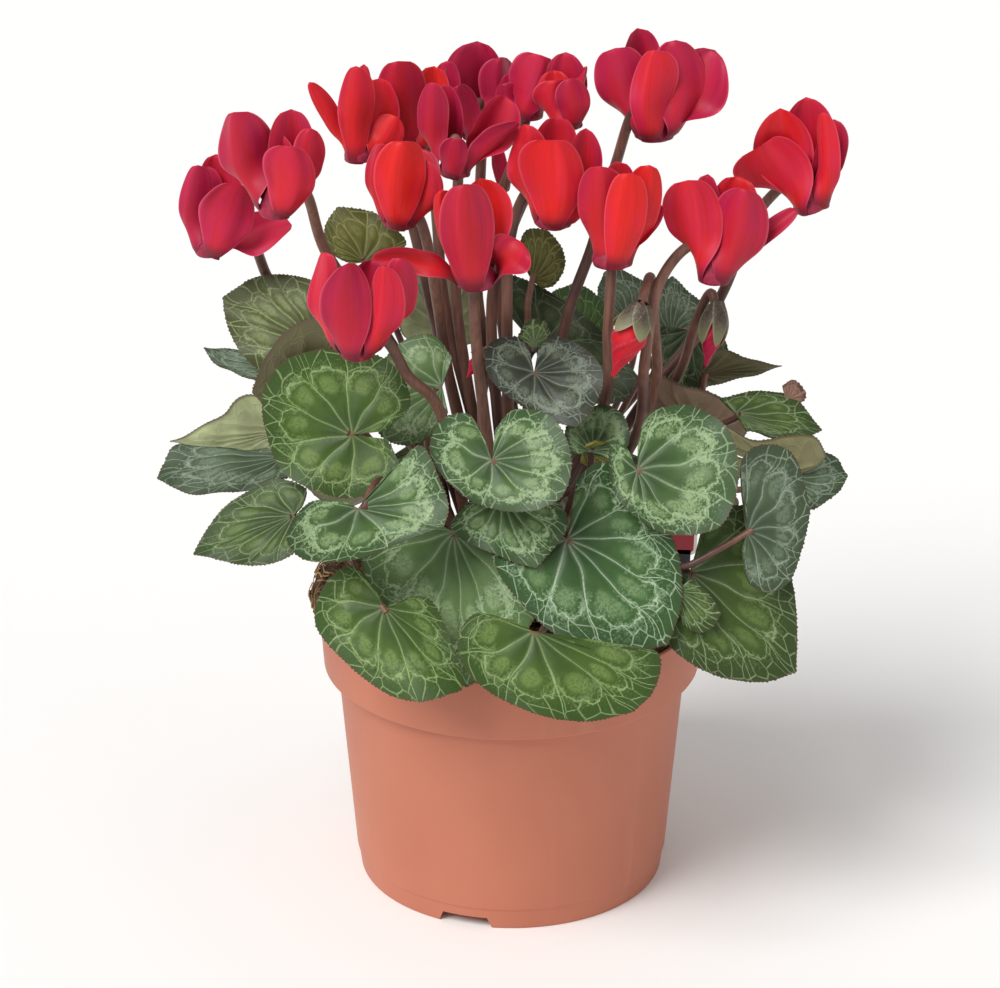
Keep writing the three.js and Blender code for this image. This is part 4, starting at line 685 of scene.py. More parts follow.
def rounded(outline, radius, steps=4):
    """The outline with its inner corners replaced by quadratic curves, a radius from each corner."""
    outline = np.asarray(outline, float)
    done = [outline[:1]]
    share = np.linspace(0, 1, steps + 1)[:, None]
    for before, corner, after in zip(outline, outline[1:], outline[2:]):
        ins, outs = before - corner, after - corner
        start = corner + ins * min(radius / np.linalg.norm(ins), 0.45)
        end = corner + outs * min(radius / np.linalg.norm(outs), 0.45)
        done.append((1 - share) ** 2 * start + 2 * share * (1 - share) * corner + share ** 2 * end)
    done.append(outline[-1:])
    return np.vstack(done)


# Materials

def linear(colour):
    """An sRGB hex colour as linear red, green, blue and alpha."""
    value = np.array([int(colour[place:place + 2], 16) / 255 for place in (1, 3, 5)])
    straight = np.where(value <= 0.04045, value / 12.92, ((value + 0.055) / 1.055) ** 2.4)
    return (*straight.tolist(), 1.0)


def add(tree, kind, inputs=None, out=0, **settings):
    """Adds a node with its settings; an input is a value or the output of another node."""
    node = tree.nodes.new("ShaderNode" + kind)
    for key, value in settings.items():
        setattr(node, key, value)
    for key, value in (inputs or {}).items():
        if isinstance(value, bpy.types.NodeSocket):
            tree.links.new(value, node.inputs[key])
        else:
            node.inputs[key].default_value = value
    return node.outputs[out]


def material_named(name):
    """An empty node material, its tree and its output's surface socket."""
    material = bpy.data.materials.new(name)
    material.use_nodes = True
    material.node_tree.nodes.clear()
    output = material.node_tree.nodes.new("ShaderNodeOutputMaterial")
    return material, material.node_tree, output.inputs["Surface"]


def mixed(tree, share, low, high):
    """Colours low and high mixed by a share from 0 to 1; a colour may be a hex value."""
    low, high = (linear(one) if isinstance(one, str) else one for one in (low, high))
    return add(tree, "Mix", {0: share, 6: low, 7: high}, out=2, data_type="RGBA")


def stepped(tree, value, low, high, to=(0.0, 1.0)):
    """A value mapped by a smooth step from low and high to the two ends of another range."""
    return add(tree, "MapRange", {0: value, 1: low, 2: high, 3: to[0], 4: to[1]},
               interpolation_type="SMOOTHSTEP")


def math_of(tree, operation, first, second=0.0, third=0.0):
    """Arithmetic on values."""
    return add(tree, "Math", {0: first, 1: second, 2: third}, operation=operation)


def times(tree, first, second):
    """The product of two values."""
    return math_of(tree, "MULTIPLY", first, second)


def named(tree, name):
    """A vector that every point of the mesh carries."""
    return add(tree, "Attribute", attribute_name=name, out=1)


def parts_of(tree, vector):
    """The three values of a vector."""
    parts = tree.nodes.new("ShaderNodeSeparateXYZ")
    tree.links.new(vector, parts.inputs[0])
    return parts.outputs


def noise(tree, place, scale, detail, roughness=0.5):
    """Cloudy noise of a scale, in waves to a unit of the place."""
    return add(tree, "TexNoise", {"Vector": place, "Scale": scale, "Detail": detail,
                                  "Roughness": roughness})


def bumped(tree, strength, distance, height):
    """The surface's slope, tilted by a height in steps of a distance in metres."""
    return add(tree, "Bump", {"Strength": strength, "Distance": distance, "Height": height})


def add_surface(tree, surface, inputs):
    """A principled surface with the given inputs, joined to the material's output."""
    tree.links.new(add(tree, "BsdfPrincipled", inputs), surface)


# Leaf surfaces

def leaf_marks(tree):
    """Shares of vein, net, blotch and speckle on a blade, from its polar and flat attributes.

    Nine main veins run out from the join at even steps round the margin. Between each two lies a
    pale oval: the inside of a wavy ellipse in polar steps. A loop of vein follows a wider ellipse
    round its outer end, and past the loops the edges of cells NET_CELL wide reach the margin.
    """
    polar = named(tree, "polar")
    flat = named(tree, "flat")
    around, reach, margin = parts_of(tree, polar)
    flat_x, _, radius = parts_of(tree, flat)
    grain = noise(tree, flat, 1.1, 5.0, 0.75)
    patchy = noise(tree, flat, 0.12, 2.0)
    rough = noise(tree, flat, 0.24, 2.0)
    turn = math_of(tree, "PINGPONG", around, SECTOR / 2)
    off = times(tree, turn, times(tree, margin, reach))
    narrow = stepped(tree, reach, 0.0, 1.0, (0.3, 0.14))
    vein = stepped(tree, math_of(tree, "DIVIDE", off, narrow), 0.5, 1.7, (1.0, 0.0))
    vein = times(tree, vein, stepped(tree, reach, 0.12, 0.62, (0.35, 0.85)))
    ridge = times(tree, stepped(tree, off, 0.2, 1.5, (0.1, 0.0)), stepped(tree, reach, 0.75, 0.45))
    side = math_of(tree, "DIVIDE", math_of(tree, "SUBTRACT", SECTOR / 2, turn), 0.45 * SECTOR)
    out = math_of(tree, "DIVIDE", math_of(tree, "SUBTRACT", reach, 0.6), 0.2)
    oval = math_of(tree, "ADD", math_of(tree, "POWER", side, 2.0), math_of(tree, "POWER", out, 2.0))
    oval = math_of(tree, "SQRT", oval)
    oval = math_of(tree, "MULTIPLY_ADD", math_of(tree, "SUBTRACT", rough, 0.5), 0.9, oval)
    loop = math_of(tree, "ABSOLUTE", math_of(tree, "SUBTRACT", oval, 1.0))
    loop = times(tree, loop, radius)
    haze = times(tree, stepped(tree, loop, 1.0, 7.0, (1.0, 0.0)), stepped(tree, reach, 0.45, 0.6))
    loop = stepped(tree, loop, 0.4, 1.5, (1.0, 0.0))
    loop = times(tree, loop, stepped(tree, reach, 0.55, 0.72, (0.0, 0.8)))
    place = add(tree, "CombineXYZ", {0: times(tree, around, margin), 1: times(tree, reach, radius),
                                     2: flat_x})
    cell = add(tree, "TexVoronoi", {"Vector": place, "Scale": 1 / NET_CELL, "Randomness": 1.0},
               feature="DISTANCE_TO_EDGE", voronoi_dimensions="2D")
    net = stepped(tree, cell, 0.012, 0.06, (1.0, 0.0))
    net = times(tree, net, stepped(tree, reach, 0.6, 0.8, (0.0, 0.62)))
    net = times(tree, net, stepped(tree, oval, 0.8, 1.0))
    lines = math_of(tree, "MAXIMUM", vein, math_of(tree, "MAXIMUM", loop, net))
    lines = times(tree, lines, stepped(tree, grain, 0.32, 0.52, (0.35, 1.0)))
    blotch = math_of(tree, "MULTIPLY_ADD", grain, 0.9, oval)
    blotch = times(tree, stepped(tree, blotch, 0.8, 1.15, (1.0, 0.0)),
                   stepped(tree, grain, 0.36, 0.58, (0.3, 0.85)))
    speckle = math_of(tree, "MULTIPLY_ADD", patchy, 0.45, grain)
    speckle = stepped(tree, math_of(tree, "MULTIPLY_ADD", haze, 0.12, speckle), 0.72, 0.88)
    band = times(tree, stepped(tree, reach, 0.42, 0.58), stepped(tree, reach, 0.97, 0.84))
    return {"reach": reach, "lines": lines, "ridge": ridge, "blotch": blotch,
            "speckle": times(tree, speckle, band), "grain": grain, "patchy": patchy}


def blade_material(look):
    """Living leaf, upper face: waxy cuticle over green cells, so a soft sheen with pale sunk veins."""
    centre, field, outer, vein, blotch, silver, share, _, _, rough = LOOKS[look]
    material, tree, surface = material_named("cyclamen_leaf_" + look)
    marks = leaf_marks(tree)
    colour = mixed(tree, stepped(tree, marks["reach"], 0.1, 0.5), centre, field)
    colour = mixed(tree, stepped(tree, marks["reach"], 0.66, 0.92), colour, outer)
    shade = stepped(tree, marks["patchy"], 0.35, 0.65, (0.0, 0.5))
    colour = mixed(tree, shade, colour, centre)
    speckle = times(tree, marks["speckle"], share)
    colour = mixed(tree, speckle, colour, silver)
    colour = mixed(tree, marks["blotch"], colour, blotch)
    colour = mixed(tree, marks["ridge"], colour, vein)
    colour = mixed(tree, marks["lines"], colour, vein)
    heart = stepped(tree, marks["reach"], 0.09, 0.02, (0.0, 0.6))
    colour = mixed(tree, heart, colour, "#6a4030")
    edge = stepped(tree, marks["reach"], 0.975, 0.996, (0.0, 0.6))
    colour = mixed(tree, edge, colour, "#4c3c2a")
    grain = times(tree, marks["grain"], 0.4)
    height = math_of(tree, "MULTIPLY_ADD", marks["lines"], -0.8, grain)
    bump = bumped(tree, 0.5, 0.0004, height)
    gloss = stepped(tree, marks["grain"], 0.3, 0.7, (rough, rough + 0.12))
    add_surface(tree, surface, {"Base Color": colour, "Roughness": gloss, "Normal": bump,
                                "Specular IOR Level": 0.32})
    return material


def back_material(look):
    """Living leaf, underside: matt cells over raised veins, greyer and browner than the upper face."""
    under, ridge = LOOKS[look][7:9]
    material, tree, surface = material_named("cyclamen_leaf_underside_" + look)
    marks = leaf_marks(tree)
    colour = mixed(tree, stepped(tree, marks["patchy"], 0.35, 0.7, (0.0, 0.4)), under, "#5c5c38")
    colour = mixed(tree, stepped(tree, marks["reach"], 0.5, 0.05, (0.0, 0.3)), colour, "#6a4536")
    colour = mixed(tree, times(tree, marks["lines"], 0.5), colour, ridge)
    edge = stepped(tree, marks["reach"], 0.95, 0.99, (0.0, 0.6))
    colour = mixed(tree, edge, colour, "#5a4032")
    height = math_of(tree, "MULTIPLY_ADD", marks["grain"], 0.4, marks["lines"])
    bump = bumped(tree, 0.5, 0.0004, height)
    add_surface(tree, surface, {"Base Color": colour, "Roughness": 0.62, "Normal": bump,
                                "Sheen Weight": 0.1})
    return material


def stem_material():
    """Fleshy plant stem: smooth waxy skin, brown-purple over green, faintly ribbed lengthwise."""
    material, tree, surface = material_named("cyclamen_stem_skin")
    place = add(tree, "TexCoord", out=3)
    stretched = add(tree, "Mapping", {"Vector": place, "Scale": (1.0, 1.0, 0.1)})
    rib = noise(tree, stretched, 900.0, 2.0)
    cloud = noise(tree, place, 28.0, 3.0)
    colour = mixed(tree, stepped(tree, cloud, 0.38, 0.62), "#50352e", "#8a6050")
    colour = mixed(tree, stepped(tree, rib, 0.35, 0.7, (0.0, 0.35)), colour, "#33201f")
    bump = bumped(tree, 0.12, 0.0003, rib)
    add_surface(tree, surface, {"Base Color": colour, "Roughness": 0.42, "Normal": bump,
                                "Specular IOR Level": 0.4})
    return material


def petal_material(name, pink):
    """Cyclamen petal: velvet cells over thin red tissue, scarlet in the middle, crimson towards its rim,
    with a painted pale highlight along the very edge.
    """
    material, tree, surface = material_named(name)
    polar = named(tree, "polar")
    across, along, tone = parts_of(tree, polar)
    streaky = add(tree, "Mapping", {"Vector": polar, "Scale": (7.0, 0.9, 3.0)})
    streak = noise(tree, streaky, 1.0, 5.0, 0.6)
    cloud = noise(tree, polar, 1.6, 3.0)
    side = math_of(tree, "ABSOLUTE", across)
    shift = math_of(tree, "MULTIPLY_ADD", tone, 0.6, pink - 0.4)
    shift = math_of(tree, "ADD", shift, stepped(tree, cloud, 0.3, 0.7, (-0.3, 0.3)))
    shift = math_of(tree, "ADD", shift, stepped(tree, side, 0.2, 0.95, (0.0, 0.4)))
    shift = add(tree, "Clamp", {0: shift})
    colour = mixed(tree, shift, "#e01c12", "#bc1848")
    deep = math_of(tree, "MULTIPLY_ADD", tone, 0.28, stepped(tree, cloud, 0.65, 0.35, (0.0, 0.2)))
    colour = mixed(tree, deep, colour, "#86102c")
    lines = stepped(tree, streak, 0.45, 0.75, (0.0, 0.22))
    colour = mixed(tree, lines, colour, "#7c0c26")
    pale = stepped(tree, streak, 0.42, 0.22, (0.0, 0.16))
    colour = mixed(tree, pale, colour, "#ea4a60")
    # Painted highlight: a thin pale pink line along both edges of every petal, where an edge would catch
    # the light.
    rim = stepped(tree, side, 0.9, 1.0, (0.0, 0.26))
    colour = mixed(tree, rim, colour, "#ee7c94")
    foot = stepped(tree, along, 0.2, 0.02, (0.0, 0.8))
    colour = mixed(tree, foot, colour, "#5e0a24")
    bump = bumped(tree, 0.3, 0.0003, streak)
    add_surface(tree, surface, {
        "Base Color": colour, "Roughness": 0.52, "Normal": bump, "Specular IOR Level": 0.3,
        "Sheen Weight": 0.08, "Sheen Roughness": 0.4, "Subsurface Weight": 0.12,
        "Subsurface Scale": 0.001, "Subsurface Radius": (1.0, 0.25, 0.2)})
    return material


def throat_material():
    """Mouth of the corolla: the same tissue as the petals, dark magenta and matt."""
    material, tree, surface = material_named("cyclamen_throat")
    place = add(tree, "TexCoord", out=3)
    cloud = noise(tree, place, 600.0, 3.0)
    colour = mixed(tree, stepped(tree, cloud, 0.3, 0.7), "#7c0c30", "#a3163c")
    bump = bumped(tree, 0.2, 0.0002, cloud)
    add_surface(tree, surface, {"Base Color": colour, "Roughness": 0.55, "Normal": bump})
    return material


def sepal_material():
    """Sepals: small leathery leaves, purple-brown at the stem and pale green at the tips and rims."""
    material, tree, surface = material_named("cyclamen_sepal")
    polar = named(tree, "polar")
    place = add(tree, "TexCoord", out=3)
    fleck = noise(tree, place, 900.0, 4.0)
    across, along, _ = parts_of(tree, polar)
    colour = mixed(tree, stepped(tree, fleck, 0.35, 0.65, (0.0, 0.6)), "#40302c", "#5e5840")
    tip = stepped(tree, along, 0.3, 0.95, (0.0, 0.75))
    colour = mixed(tree, tip, colour, "#8e9068")
    rim = stepped(tree, math_of(tree, "ABSOLUTE", across), 0.7, 1.0, (0.0, 0.5))
    colour = mixed(tree, rim, colour, "#a8a07c")
    bump = bumped(tree, 0.3, 0.0003, fleck)
    add_surface(tree, surface, {"Base Color": colour, "Roughness": 0.55, "Normal": bump})
    return material


def pot_material(colour):
    """Injection-moulded polypropylene in terracotta colour: matt, with a fine tool grain."""
    material, tree, surface = material_named("terracotta_polypropylene")
    place = add(tree, "TexCoord", out=3)
    grain = noise(tree, place, 2200.0, 3.0, 0.7)
    drawn = add(tree, "Mapping", {"Vector": place, "Scale": (1.0, 1.0, 0.06)})
    flow = noise(tree, drawn, 90.0, 3.0)
    cloud = noise(tree, place, 18.0, 3.0)
    tint = mixed(tree, stepped(tree, cloud, 0.3, 0.7, (0.0, 0.35)), (*colour, 1.0), "#a95f46")
    tint = mixed(tree, stepped(tree, flow, 0.55, 0.8, (0.0, 0.25)), tint, "#cb8a70")
    rough = stepped(tree, grain, 0.3, 0.7, (0.46, 0.6))
    height = math_of(tree, "MULTIPLY_ADD", flow, 0.5, grain)
    bump = bumped(tree, 0.12, 0.0002, height)
    add_surface(tree, surface, {"Base Color": tint, "Roughness": rough, "Normal": bump, "IOR": 1.49})
    return material


def soil_material():
    """Peat and coir: crumbs from black to golden brown, fully matt."""
    material, tree, surface = material_named("peat_and_coir")
    place = add(tree, "TexCoord", out=3)
    crumb = add(tree, "TexVoronoi", {"Vector": place, "Scale": 420.0}, feature="F1")
    fleck = noise(tree, place, 900.0, 6.0, 0.8)
    colour = mixed(tree, stepped(tree, fleck, 0.38, 0.66), "#2a1d15", "#7a5a3c")
    colour = mixed(tree, stepped(tree, crumb, 0.5, 0.9, (0.0, 0.5)), colour, "#a98556")
    height = math_of(tree, "ADD", crumb, fleck)
    bump = bumped(tree, 0.9, 0.0012, height)
    add_surface(tree, surface, {"Base Color": colour, "Roughness": 0.95, "Normal": bump})
    return material


def fibre_material():
    """Coconut fibre: stiff golden strands, a little glossy along their length."""
    material, tree, surface = material_named("coconut_fibre")
    place = add(tree, "TexCoord", out=3)
    tone = noise(tree, place, 160.0, 2.0)
    colour = mixed(tree, stepped(tree, tone, 0.35, 0.65), "#7c5834", "#c79d63")
    bump = bumped(tree, 0.2, 0.0001, tone)
    add_surface(tree, surface, {"Base Color": colour, "Roughness": 0.6, "Normal": bump})
    return material


def cork_material():
    """Tuber skin: dry cork, cracked into plates about 4 mm wide."""
    material, tree, surface = material_named("tuber_cork_skin")
    place = add(tree, "TexCoord", out=3)
    plate = add(tree, "TexVoronoi", {"Vector": place, "Scale": 250.0}, feature="DISTANCE_TO_EDGE")
    fleck = noise(tree, place, 500.0, 5.0)
    colour = mixed(tree, stepped(tree, fleck, 0.3, 0.7), "#4a382b", "#7d6650")
    crack = stepped(tree, plate, 0.0, 0.08, (0.8, 0.0))
    colour = mixed(tree, crack, colour, "#221811")
    height = math_of(tree, "SUBTRACT", fleck, crack)
    bump = bumped(tree, 0.7, 0.0008, height)
    add_surface(tree, surface, {"Base Color": colour, "Roughness": 0.9, "Normal": bump})
    return material


def card_material():
    """Printed plastic card: a red field with a plain white border, under a thin gloss film."""
    material, tree, surface = material_named("printed_label_card")
    flat = named(tree, "flat")
    inside = stepped(tree, parts_of(tree, flat)[2], LABEL_BORDER, LABEL_BORDER + 0.2)
    print_grain = noise(tree, flat, 6.0, 3.0)
    red = mixed(tree, stepped(tree, print_grain, 0.3, 0.7), "#8e1626", "#b32a38")
    colour = mixed(tree, inside, "#e9e2da", red)
    add_surface(tree, surface, {"Base Color": colour, "Roughness": 0.35})
    return material


def stake_material():
    """Moulded stake of the label: dark recycled polypropylene."""
    material, tree, surface = material_named("dark_polypropylene_stake")
    place = add(tree, "TexCoord", out=3)
    grain = noise(tree, place, 1500.0, 3.0)
    colour = mixed(tree, stepped(tree, grain, 0.3, 0.7), "#16161a", "#2a2a30")
    bump = bumped(tree, 0.2, 0.0002, grain)
    add_surface(tree, surface, {"Base Color": colour, "Roughness": 0.5, "Normal": bump})
    return material


# Feet of the stems on the tuber

def feet_of(places, keys, rings, evenness):
    """Feet dealt to rings in the order of their keys, turned within a ring towards their places."""
    order = np.argsort(keys, kind="stable")
    feet = np.zeros((len(places), 2))
    dealt = 0
    for radius, count in rings:
        chosen = order[dealt:dealt + count]
        dealt += count
        angle = np.arctan2(places[chosen, 1], places[chosen, 0])
        turn = np.argsort(angle, kind="stable")
        chosen, angle = chosen[turn], angle[turn]
        even = -math.pi + 2 * math.pi * (np.arange(len(chosen)) + 0.5) / max(len(chosen), 1)
        aim = evenness * even + (1 - evenness) * angle
        feet[chosen] = radius * np.stack([np.cos(aim), np.sin(aim)], -1)
    return feet


def leaf_feet():
    """Feet of the petioles, the lowest leaves outermost."""
    joins = np.vstack([seen([leaf[1] for leaf in LEAVES]), [leaf[1] for leaf in BACK_LEAVES]])
    return feet_of(joins, joins[:, 2], LEAF_FOOT_RINGS, LEAF_FEET_EVEN)


def stem_feet():
    """Feet of the bloom and bud stems, the ones that start furthest out on the outer ring."""
    first = seen([bloom[4][0] for bloom in BLOOMS] + [bud[1][0] for bud in BUDS])
    return feet_of(first, -np.hypot(first[:, 0], first[:, 1]), STEM_FOOT_RINGS, STEM_FEET_EVEN)


# Blades

def relief(x, y, length, reach, around, shape):
    """Lift of a blade: a bowl with x and y squared, a crease with |x| and a ripple at the margin."""
    dish, fold, wave, phase = shape
    bowl = 0.01 * dish * (x * x + y * y) / length
    crease = 0.01 * fold * (np.hypot(x, 3) - 3)
    ripple = np.sin(5 * math.pi * around + math.radians(phase))
    return bowl + crease + 0.1 * wave * reach ** 3 * ripple


def on_plane(plane, marks, lift):
    """Where rays through picture points meet the blade's plane raised by lift, from the join."""
    ray = rays(marks)
    gap = (plane["join"] - CAMERA_PLACE) @ plane["normal"] + lift
    return CAMERA_PLACE + ray * (gap / (ray @ plane["normal"]))[..., None] - plane["join"]


def plane_through(join, face, tip):
    """A blade's plane: its join, normal, forward way to the tip, sideways way and length."""
    plane = {"join": join, "normal": unit(face)}
    forward = on_plane(plane, [tip], 0.0)[0]
    plane["length"] = np.linalg.norm(forward)
    plane["forward"] = forward / plane["length"]
    plane["side"] = np.cross(plane["forward"], plane["normal"])
    return plane


def fold_plane(fold, plane, shape):
    """The plane of a fold, from a point at seven tenths of the relief of its leaf's blade."""
    spot = on_plane(plane, [fold[1]], 0.0)[0]
    x, y = spot @ plane["side"], spot @ plane["forward"]
    lift = relief(x, y, plane["length"], 0.7, 0.0, shape)
    thickness = bpy.context.scene.cyclamen_leaves.thickness / MM
    return plane_through(plane["join"] + spot + plane["normal"] * (lift - thickness / 2),
                         fold[2], fold[3])


def place_marks(plane, marks, around, shape):
    """Margin marks on the blade: four rounds of meeting the plane at the lift found so far."""
    lift = np.zeros(len(marks))
    for _ in range(4):
        spot = on_plane(plane, marks, lift)
        x, y = spot @ plane["side"], spot @ plane["forward"]
        lift = relief(x, y, plane["length"], 1.0, around, shape)
    return np.stack([x, y], -1)


def margin_of(plane, tip, left, right, shape):
    """Corners of both halves of a margin, each from the tip back to the notch."""
    start = place_marks(plane, [tip], np.zeros(1), shape)
    halves = []
    for marks, sign in ((left, -1), (right, 1)):
        around = sign * (np.arange(len(marks)) + 1) / len(marks)
        halves.append(np.vstack([start, place_marks(plane, marks, around, shape)]))
    return halves


def blade(plane, halves, shape, settings, seed, slots=(0, 1)):
    """A blade between its upper and lower faces, on rays from the join to a toothed margin.

    The upper face is the relief, less a groove at each of nine wavy main veins, plus a swelling
    between them and slow lumps. The lower face lies a thickness below, with the veins as ridges.
    """
    draw = np.random.default_rng(seed)
    pitch = settings.tooth_pitch / MM
    lefts, left_run = half_of_margin(halves[0], pitch)
    rights, right_run = half_of_margin(halves[1], pitch)
    around = np.concatenate([np.linspace(-1, 0, len(lefts)), np.linspace(0, 1, len(rights))[1:]])
    margin = np.vstack([lefts[::-1], rights[1:]])
    area = np.sum(margin[:-1, 0] * margin[1:, 1] - margin[1:, 0] * margin[:-1, 1])
    if area > 0:
        margin, around = margin[::-1], around[::-1]
    half_margin = (left_run + right_run) / 2
    radius = np.linalg.norm(margin, axis=1).mean()
    reach = np.array(BLADE_RINGS)[:, None]
    teeth = (np.arange(len(margin)) % 2) * draw.uniform(*TOOTH_SPREAD, len(margin))
    tooth = 1 + settings.tooth_height / MM * teeth / np.linalg.norm(margin, axis=1)
    edge = np.where(reach > 0.98, tooth, 1)
    x = margin[:, 0] * reach * edge
    y = margin[:, 1] * reach * edge
    spots = np.stack([x, y, np.full(x.shape, LUMP_SHIFT * seed)], -1)
    bent = around + settings.vein_sway / half_margin / MM * lumps(spots, 20, seed + SWAY_SEED, 2)
    turn = np.abs((bent + SECTOR / 2) % SECTOR - SECTOR / 2)
    off = turn * half_margin * reach
    groove = np.exp(-(off / GROOVE_WIDTH) ** 2) * ease(reach, 1.0, 0.7) * ease(reach, 0.0, 0.06)
    swell = np.sin(math.pi * turn / SECTOR) ** 2 * np.sin(math.pi * reach) ** 1.5
    lump = lumps(spots, 26, seed, 2) * ease(reach, 0, 0.4)
    depth = settings.vein_depth / MM
    lift = relief(x, y, plane["length"], reach, around, shape)
    lift = lift + depth * swell - depth * groove + settings.lump_height / MM * lump
    thick = settings.thickness / MM * (1 - 0.4 * ease(reach, 0.8, 1.0))
    faces = []
    for drop in (0.0, thick + 0.7 * depth * groove):
        faces.append(plane["join"] + x[..., None] * plane["side"] + y[..., None] * plane["forward"]
                     + (lift - drop)[..., None] * plane["normal"])
    polar = np.stack(np.broadcast_arrays(bent, reach, half_margin), -1)
    flat = np.stack(np.broadcast_arrays(x + PATTERN_SHIFT * seed, y, radius), -1)
    top = patch(faces[0], slots[0], polar=polar, flat=flat)
    bottom = patch(faces[1], slots[1], turn=True, polar=polar, flat=flat)
    rim_of = [np.concatenate([one[:, 0], one[-1, 1:-1], one[::-1, -1]])
              for one in (*faces, polar, flat)]
    rim = patch(np.stack(rim_of[:2]), slots[0], wrap=True, polar=np.stack([rim_of[2]] * 2),
                flat=np.stack([rim_of[3]] * 2))
    return [top, bottom, rim]


def half_of_margin(corners, pitch):
    """Points of a spline through the corners of half a margin, two to a tooth, and its length."""
    run = even_spline(corners, 1)[1]
    return even_spline(corners, 2 * max(round(run / pitch), 5))


def petiole_path(plane, foot, marks, settings):
    """From the foot on the tuber through the marks, or as a cubic curve, up to the blade's join."""
    start = np.array([*foot, STEM_STRAIGHT_TOP])
    bottom = np.array([*foot, SOCKET_BOTTOM])
    thickness = settings.thickness / MM
    end = plane["join"] + PETIOLE_END * plane["forward"] - 0.6 * thickness * plane["normal"]
    if marks:
        return stem_curve([bottom, start, *seen(marks), end], PETIOLE_STEPS)
    far = np.linalg.norm(end - start)
    rise = start + np.array([0, 0, 0.35 * far])
    under = end - 0.3 * far * (0.6 * plane["forward"] + 0.8 * plane["normal"])
    share = np.linspace(0, 1, 25)[:, None]
    curve = ((1 - share) ** 3 * start + 3 * share * (1 - share) ** 2 * rise
             + 3 * share ** 2 * (1 - share) * under + share ** 3 * end)
    return np.vstack([bottom, curve])


def petiole(plane, foot, marks, settings):
    """A leaf stalk that narrows to the blade and swells a little where it joins it."""
    path = petiole_path(plane, foot, marks, settings)
    share = np.linspace(0, 1, len(path))
    return tube(path, PETIOLE_RADIUS * (1.08 - 0.25 * share + 0.12 * ease(share, 0.92, 1.0)),
                PETIOLE_SIDES, 2)


# Blooms

def petal_width(share, start, widest, point):
    """Half width along a petal: a sine rise to the widest place, then a fall to its tip."""
    climb = np.clip(share, 0, PETAL_WIDEST) / PETAL_WIDEST
    rise = start + (widest - start) * np.sin(math.pi / 2 * climb) ** 1.3
    past = np.clip((share - PETAL_WIDEST) / (1 - PETAL_WIDEST), 0, 1)
    return np.where(share <= PETAL_WIDEST, rise, widest * np.maximum(1 - past ** 2.1, 0) ** point)


def bloom_axes(bloom):
    """Nose, axis, front and right ways of a bloom."""
    axis = unit(bloom[2])
    return seen(bloom[1]), axis, *facing(axis)


def petal(bloom, axes, row, settings, seed):
    """One petal: it rolls out of the mouth on a small circle, then runs straight to its tip.

    The middle line is bowed outward and lifted. Across it the petal is an arc that curls in with
    the square of the distance from an off-centre crease, and it turns about its length as it rises.
    Its edges turn up, and ripple a little.
    """
    azimuth, across, down, depth, widest, turn, bow, lift = row
    nose, axis, front, right = axes
    ring = bloom[3]
    draw = np.random.default_rng(seed)
    angle = math.radians(azimuth)
    outward = front * math.cos(angle) + right * math.sin(angle)
    beside = np.cross(axis, outward)
    start = nose + outward * ring + axis
    reach = seen((across, down, bloom[1][2] + depth)) - start
    way = unit(reach)
    view = square_to(CAMERA_PLACE - start - 0.5 * reach, way)
    end = np.cross(way, view) * math.cos(math.radians(turn)) + view * math.sin(math.radians(turn))
    end = end if end @ beside > 0 else -end
    share = np.concatenate([np.zeros(FOLD_STEPS), np.linspace(0, 1, PETAL_STEPS) ** 0.9])[:, None]
    roll = np.concatenate([np.linspace(FOLD_ANGLE, 0.3, FOLD_STEPS), np.zeros(PETAL_STEPS)])[:, None]
    bend = settings.nose_roll / MM
    centre = start + reach * share
    centre = centre - outward * bend * (1 - np.cos(roll)) - axis * bend * np.sin(roll)
    centre = centre + outward * bow * np.sin(math.pi * share ** 0.65)
    centre = centre + axis * lift * np.sin(math.pi * share)
    blend = ease(share, 0, 0.5)
    wide = square_to(beside * (1 - blend) + end * blend, way)
    out = np.cross(wide, way)
    twist = math.radians(settings.petal_twist) * draw.uniform(-1, 1) * (ease(share, 0.25, 1) - 0.3)
    wide, out = wide * np.cos(twist) + out * np.sin(twist), out * np.cos(twist) - wide * np.sin(twist)
    phi = turns(PETAL_SIDES)
    cross = np.sign(np.cos(phi)) * np.abs(np.cos(phi)) ** 0.8
    half = petal_width(share, PETAL_BASE * ring, 1.05 * widest, draw.uniform(0.38, 0.6))
    half = half * (1 - 0.28 * ease(roll, 0, FOLD_ANGLE))
    middle = draw.uniform(-0.45, 0.45)
    curl = settings.petal_curl * (1 + 0.2 * draw.normal())
    crease = settings.petal_crease * draw.uniform(0.3, 1.2) * (np.hypot(cross - middle, 0.12) - 0.12)
    upturn = settings.petal_upturn * ease(np.abs(cross), 0.6, 1.0) * ease(share, 0.15, 0.5)
    ripple = 0.07 * np.sin(draw.uniform(8, 13) * share + draw.uniform(0, 6)) * np.abs(cross) ** 3
    ripple = ripple * np.sign(cross) * ease(share, 0.2, 0.6)
    curl = curl * (cross - 0.5 * middle) ** 2
    shift = half * (upturn + ripple - curl - crease * ease(share, 0.05, 0.4))
    thick = settings.petal_thickness / MM / 2 * np.sin(phi) * (1 - 0.35 * np.abs(cross) ** 4)
    thick = thick * ease(1 - share, 0, 0.05)
    grid = centre[:, None] + (half * cross)[..., None] * wide[:, None]
    grid = grid + (shift + thick)[..., None] * out[:, None]
    grid = np.concatenate([np.repeat(grid[:1].mean(1, keepdims=True), PETAL_SIDES, 1), grid])
    share = np.concatenate([share[:1], share])
    polar = np.stack(np.broadcast_arrays(cross[None], share, draw.uniform(0, 1)), -1)
    return patch(grid, 0, wrap=True, polar=polar)


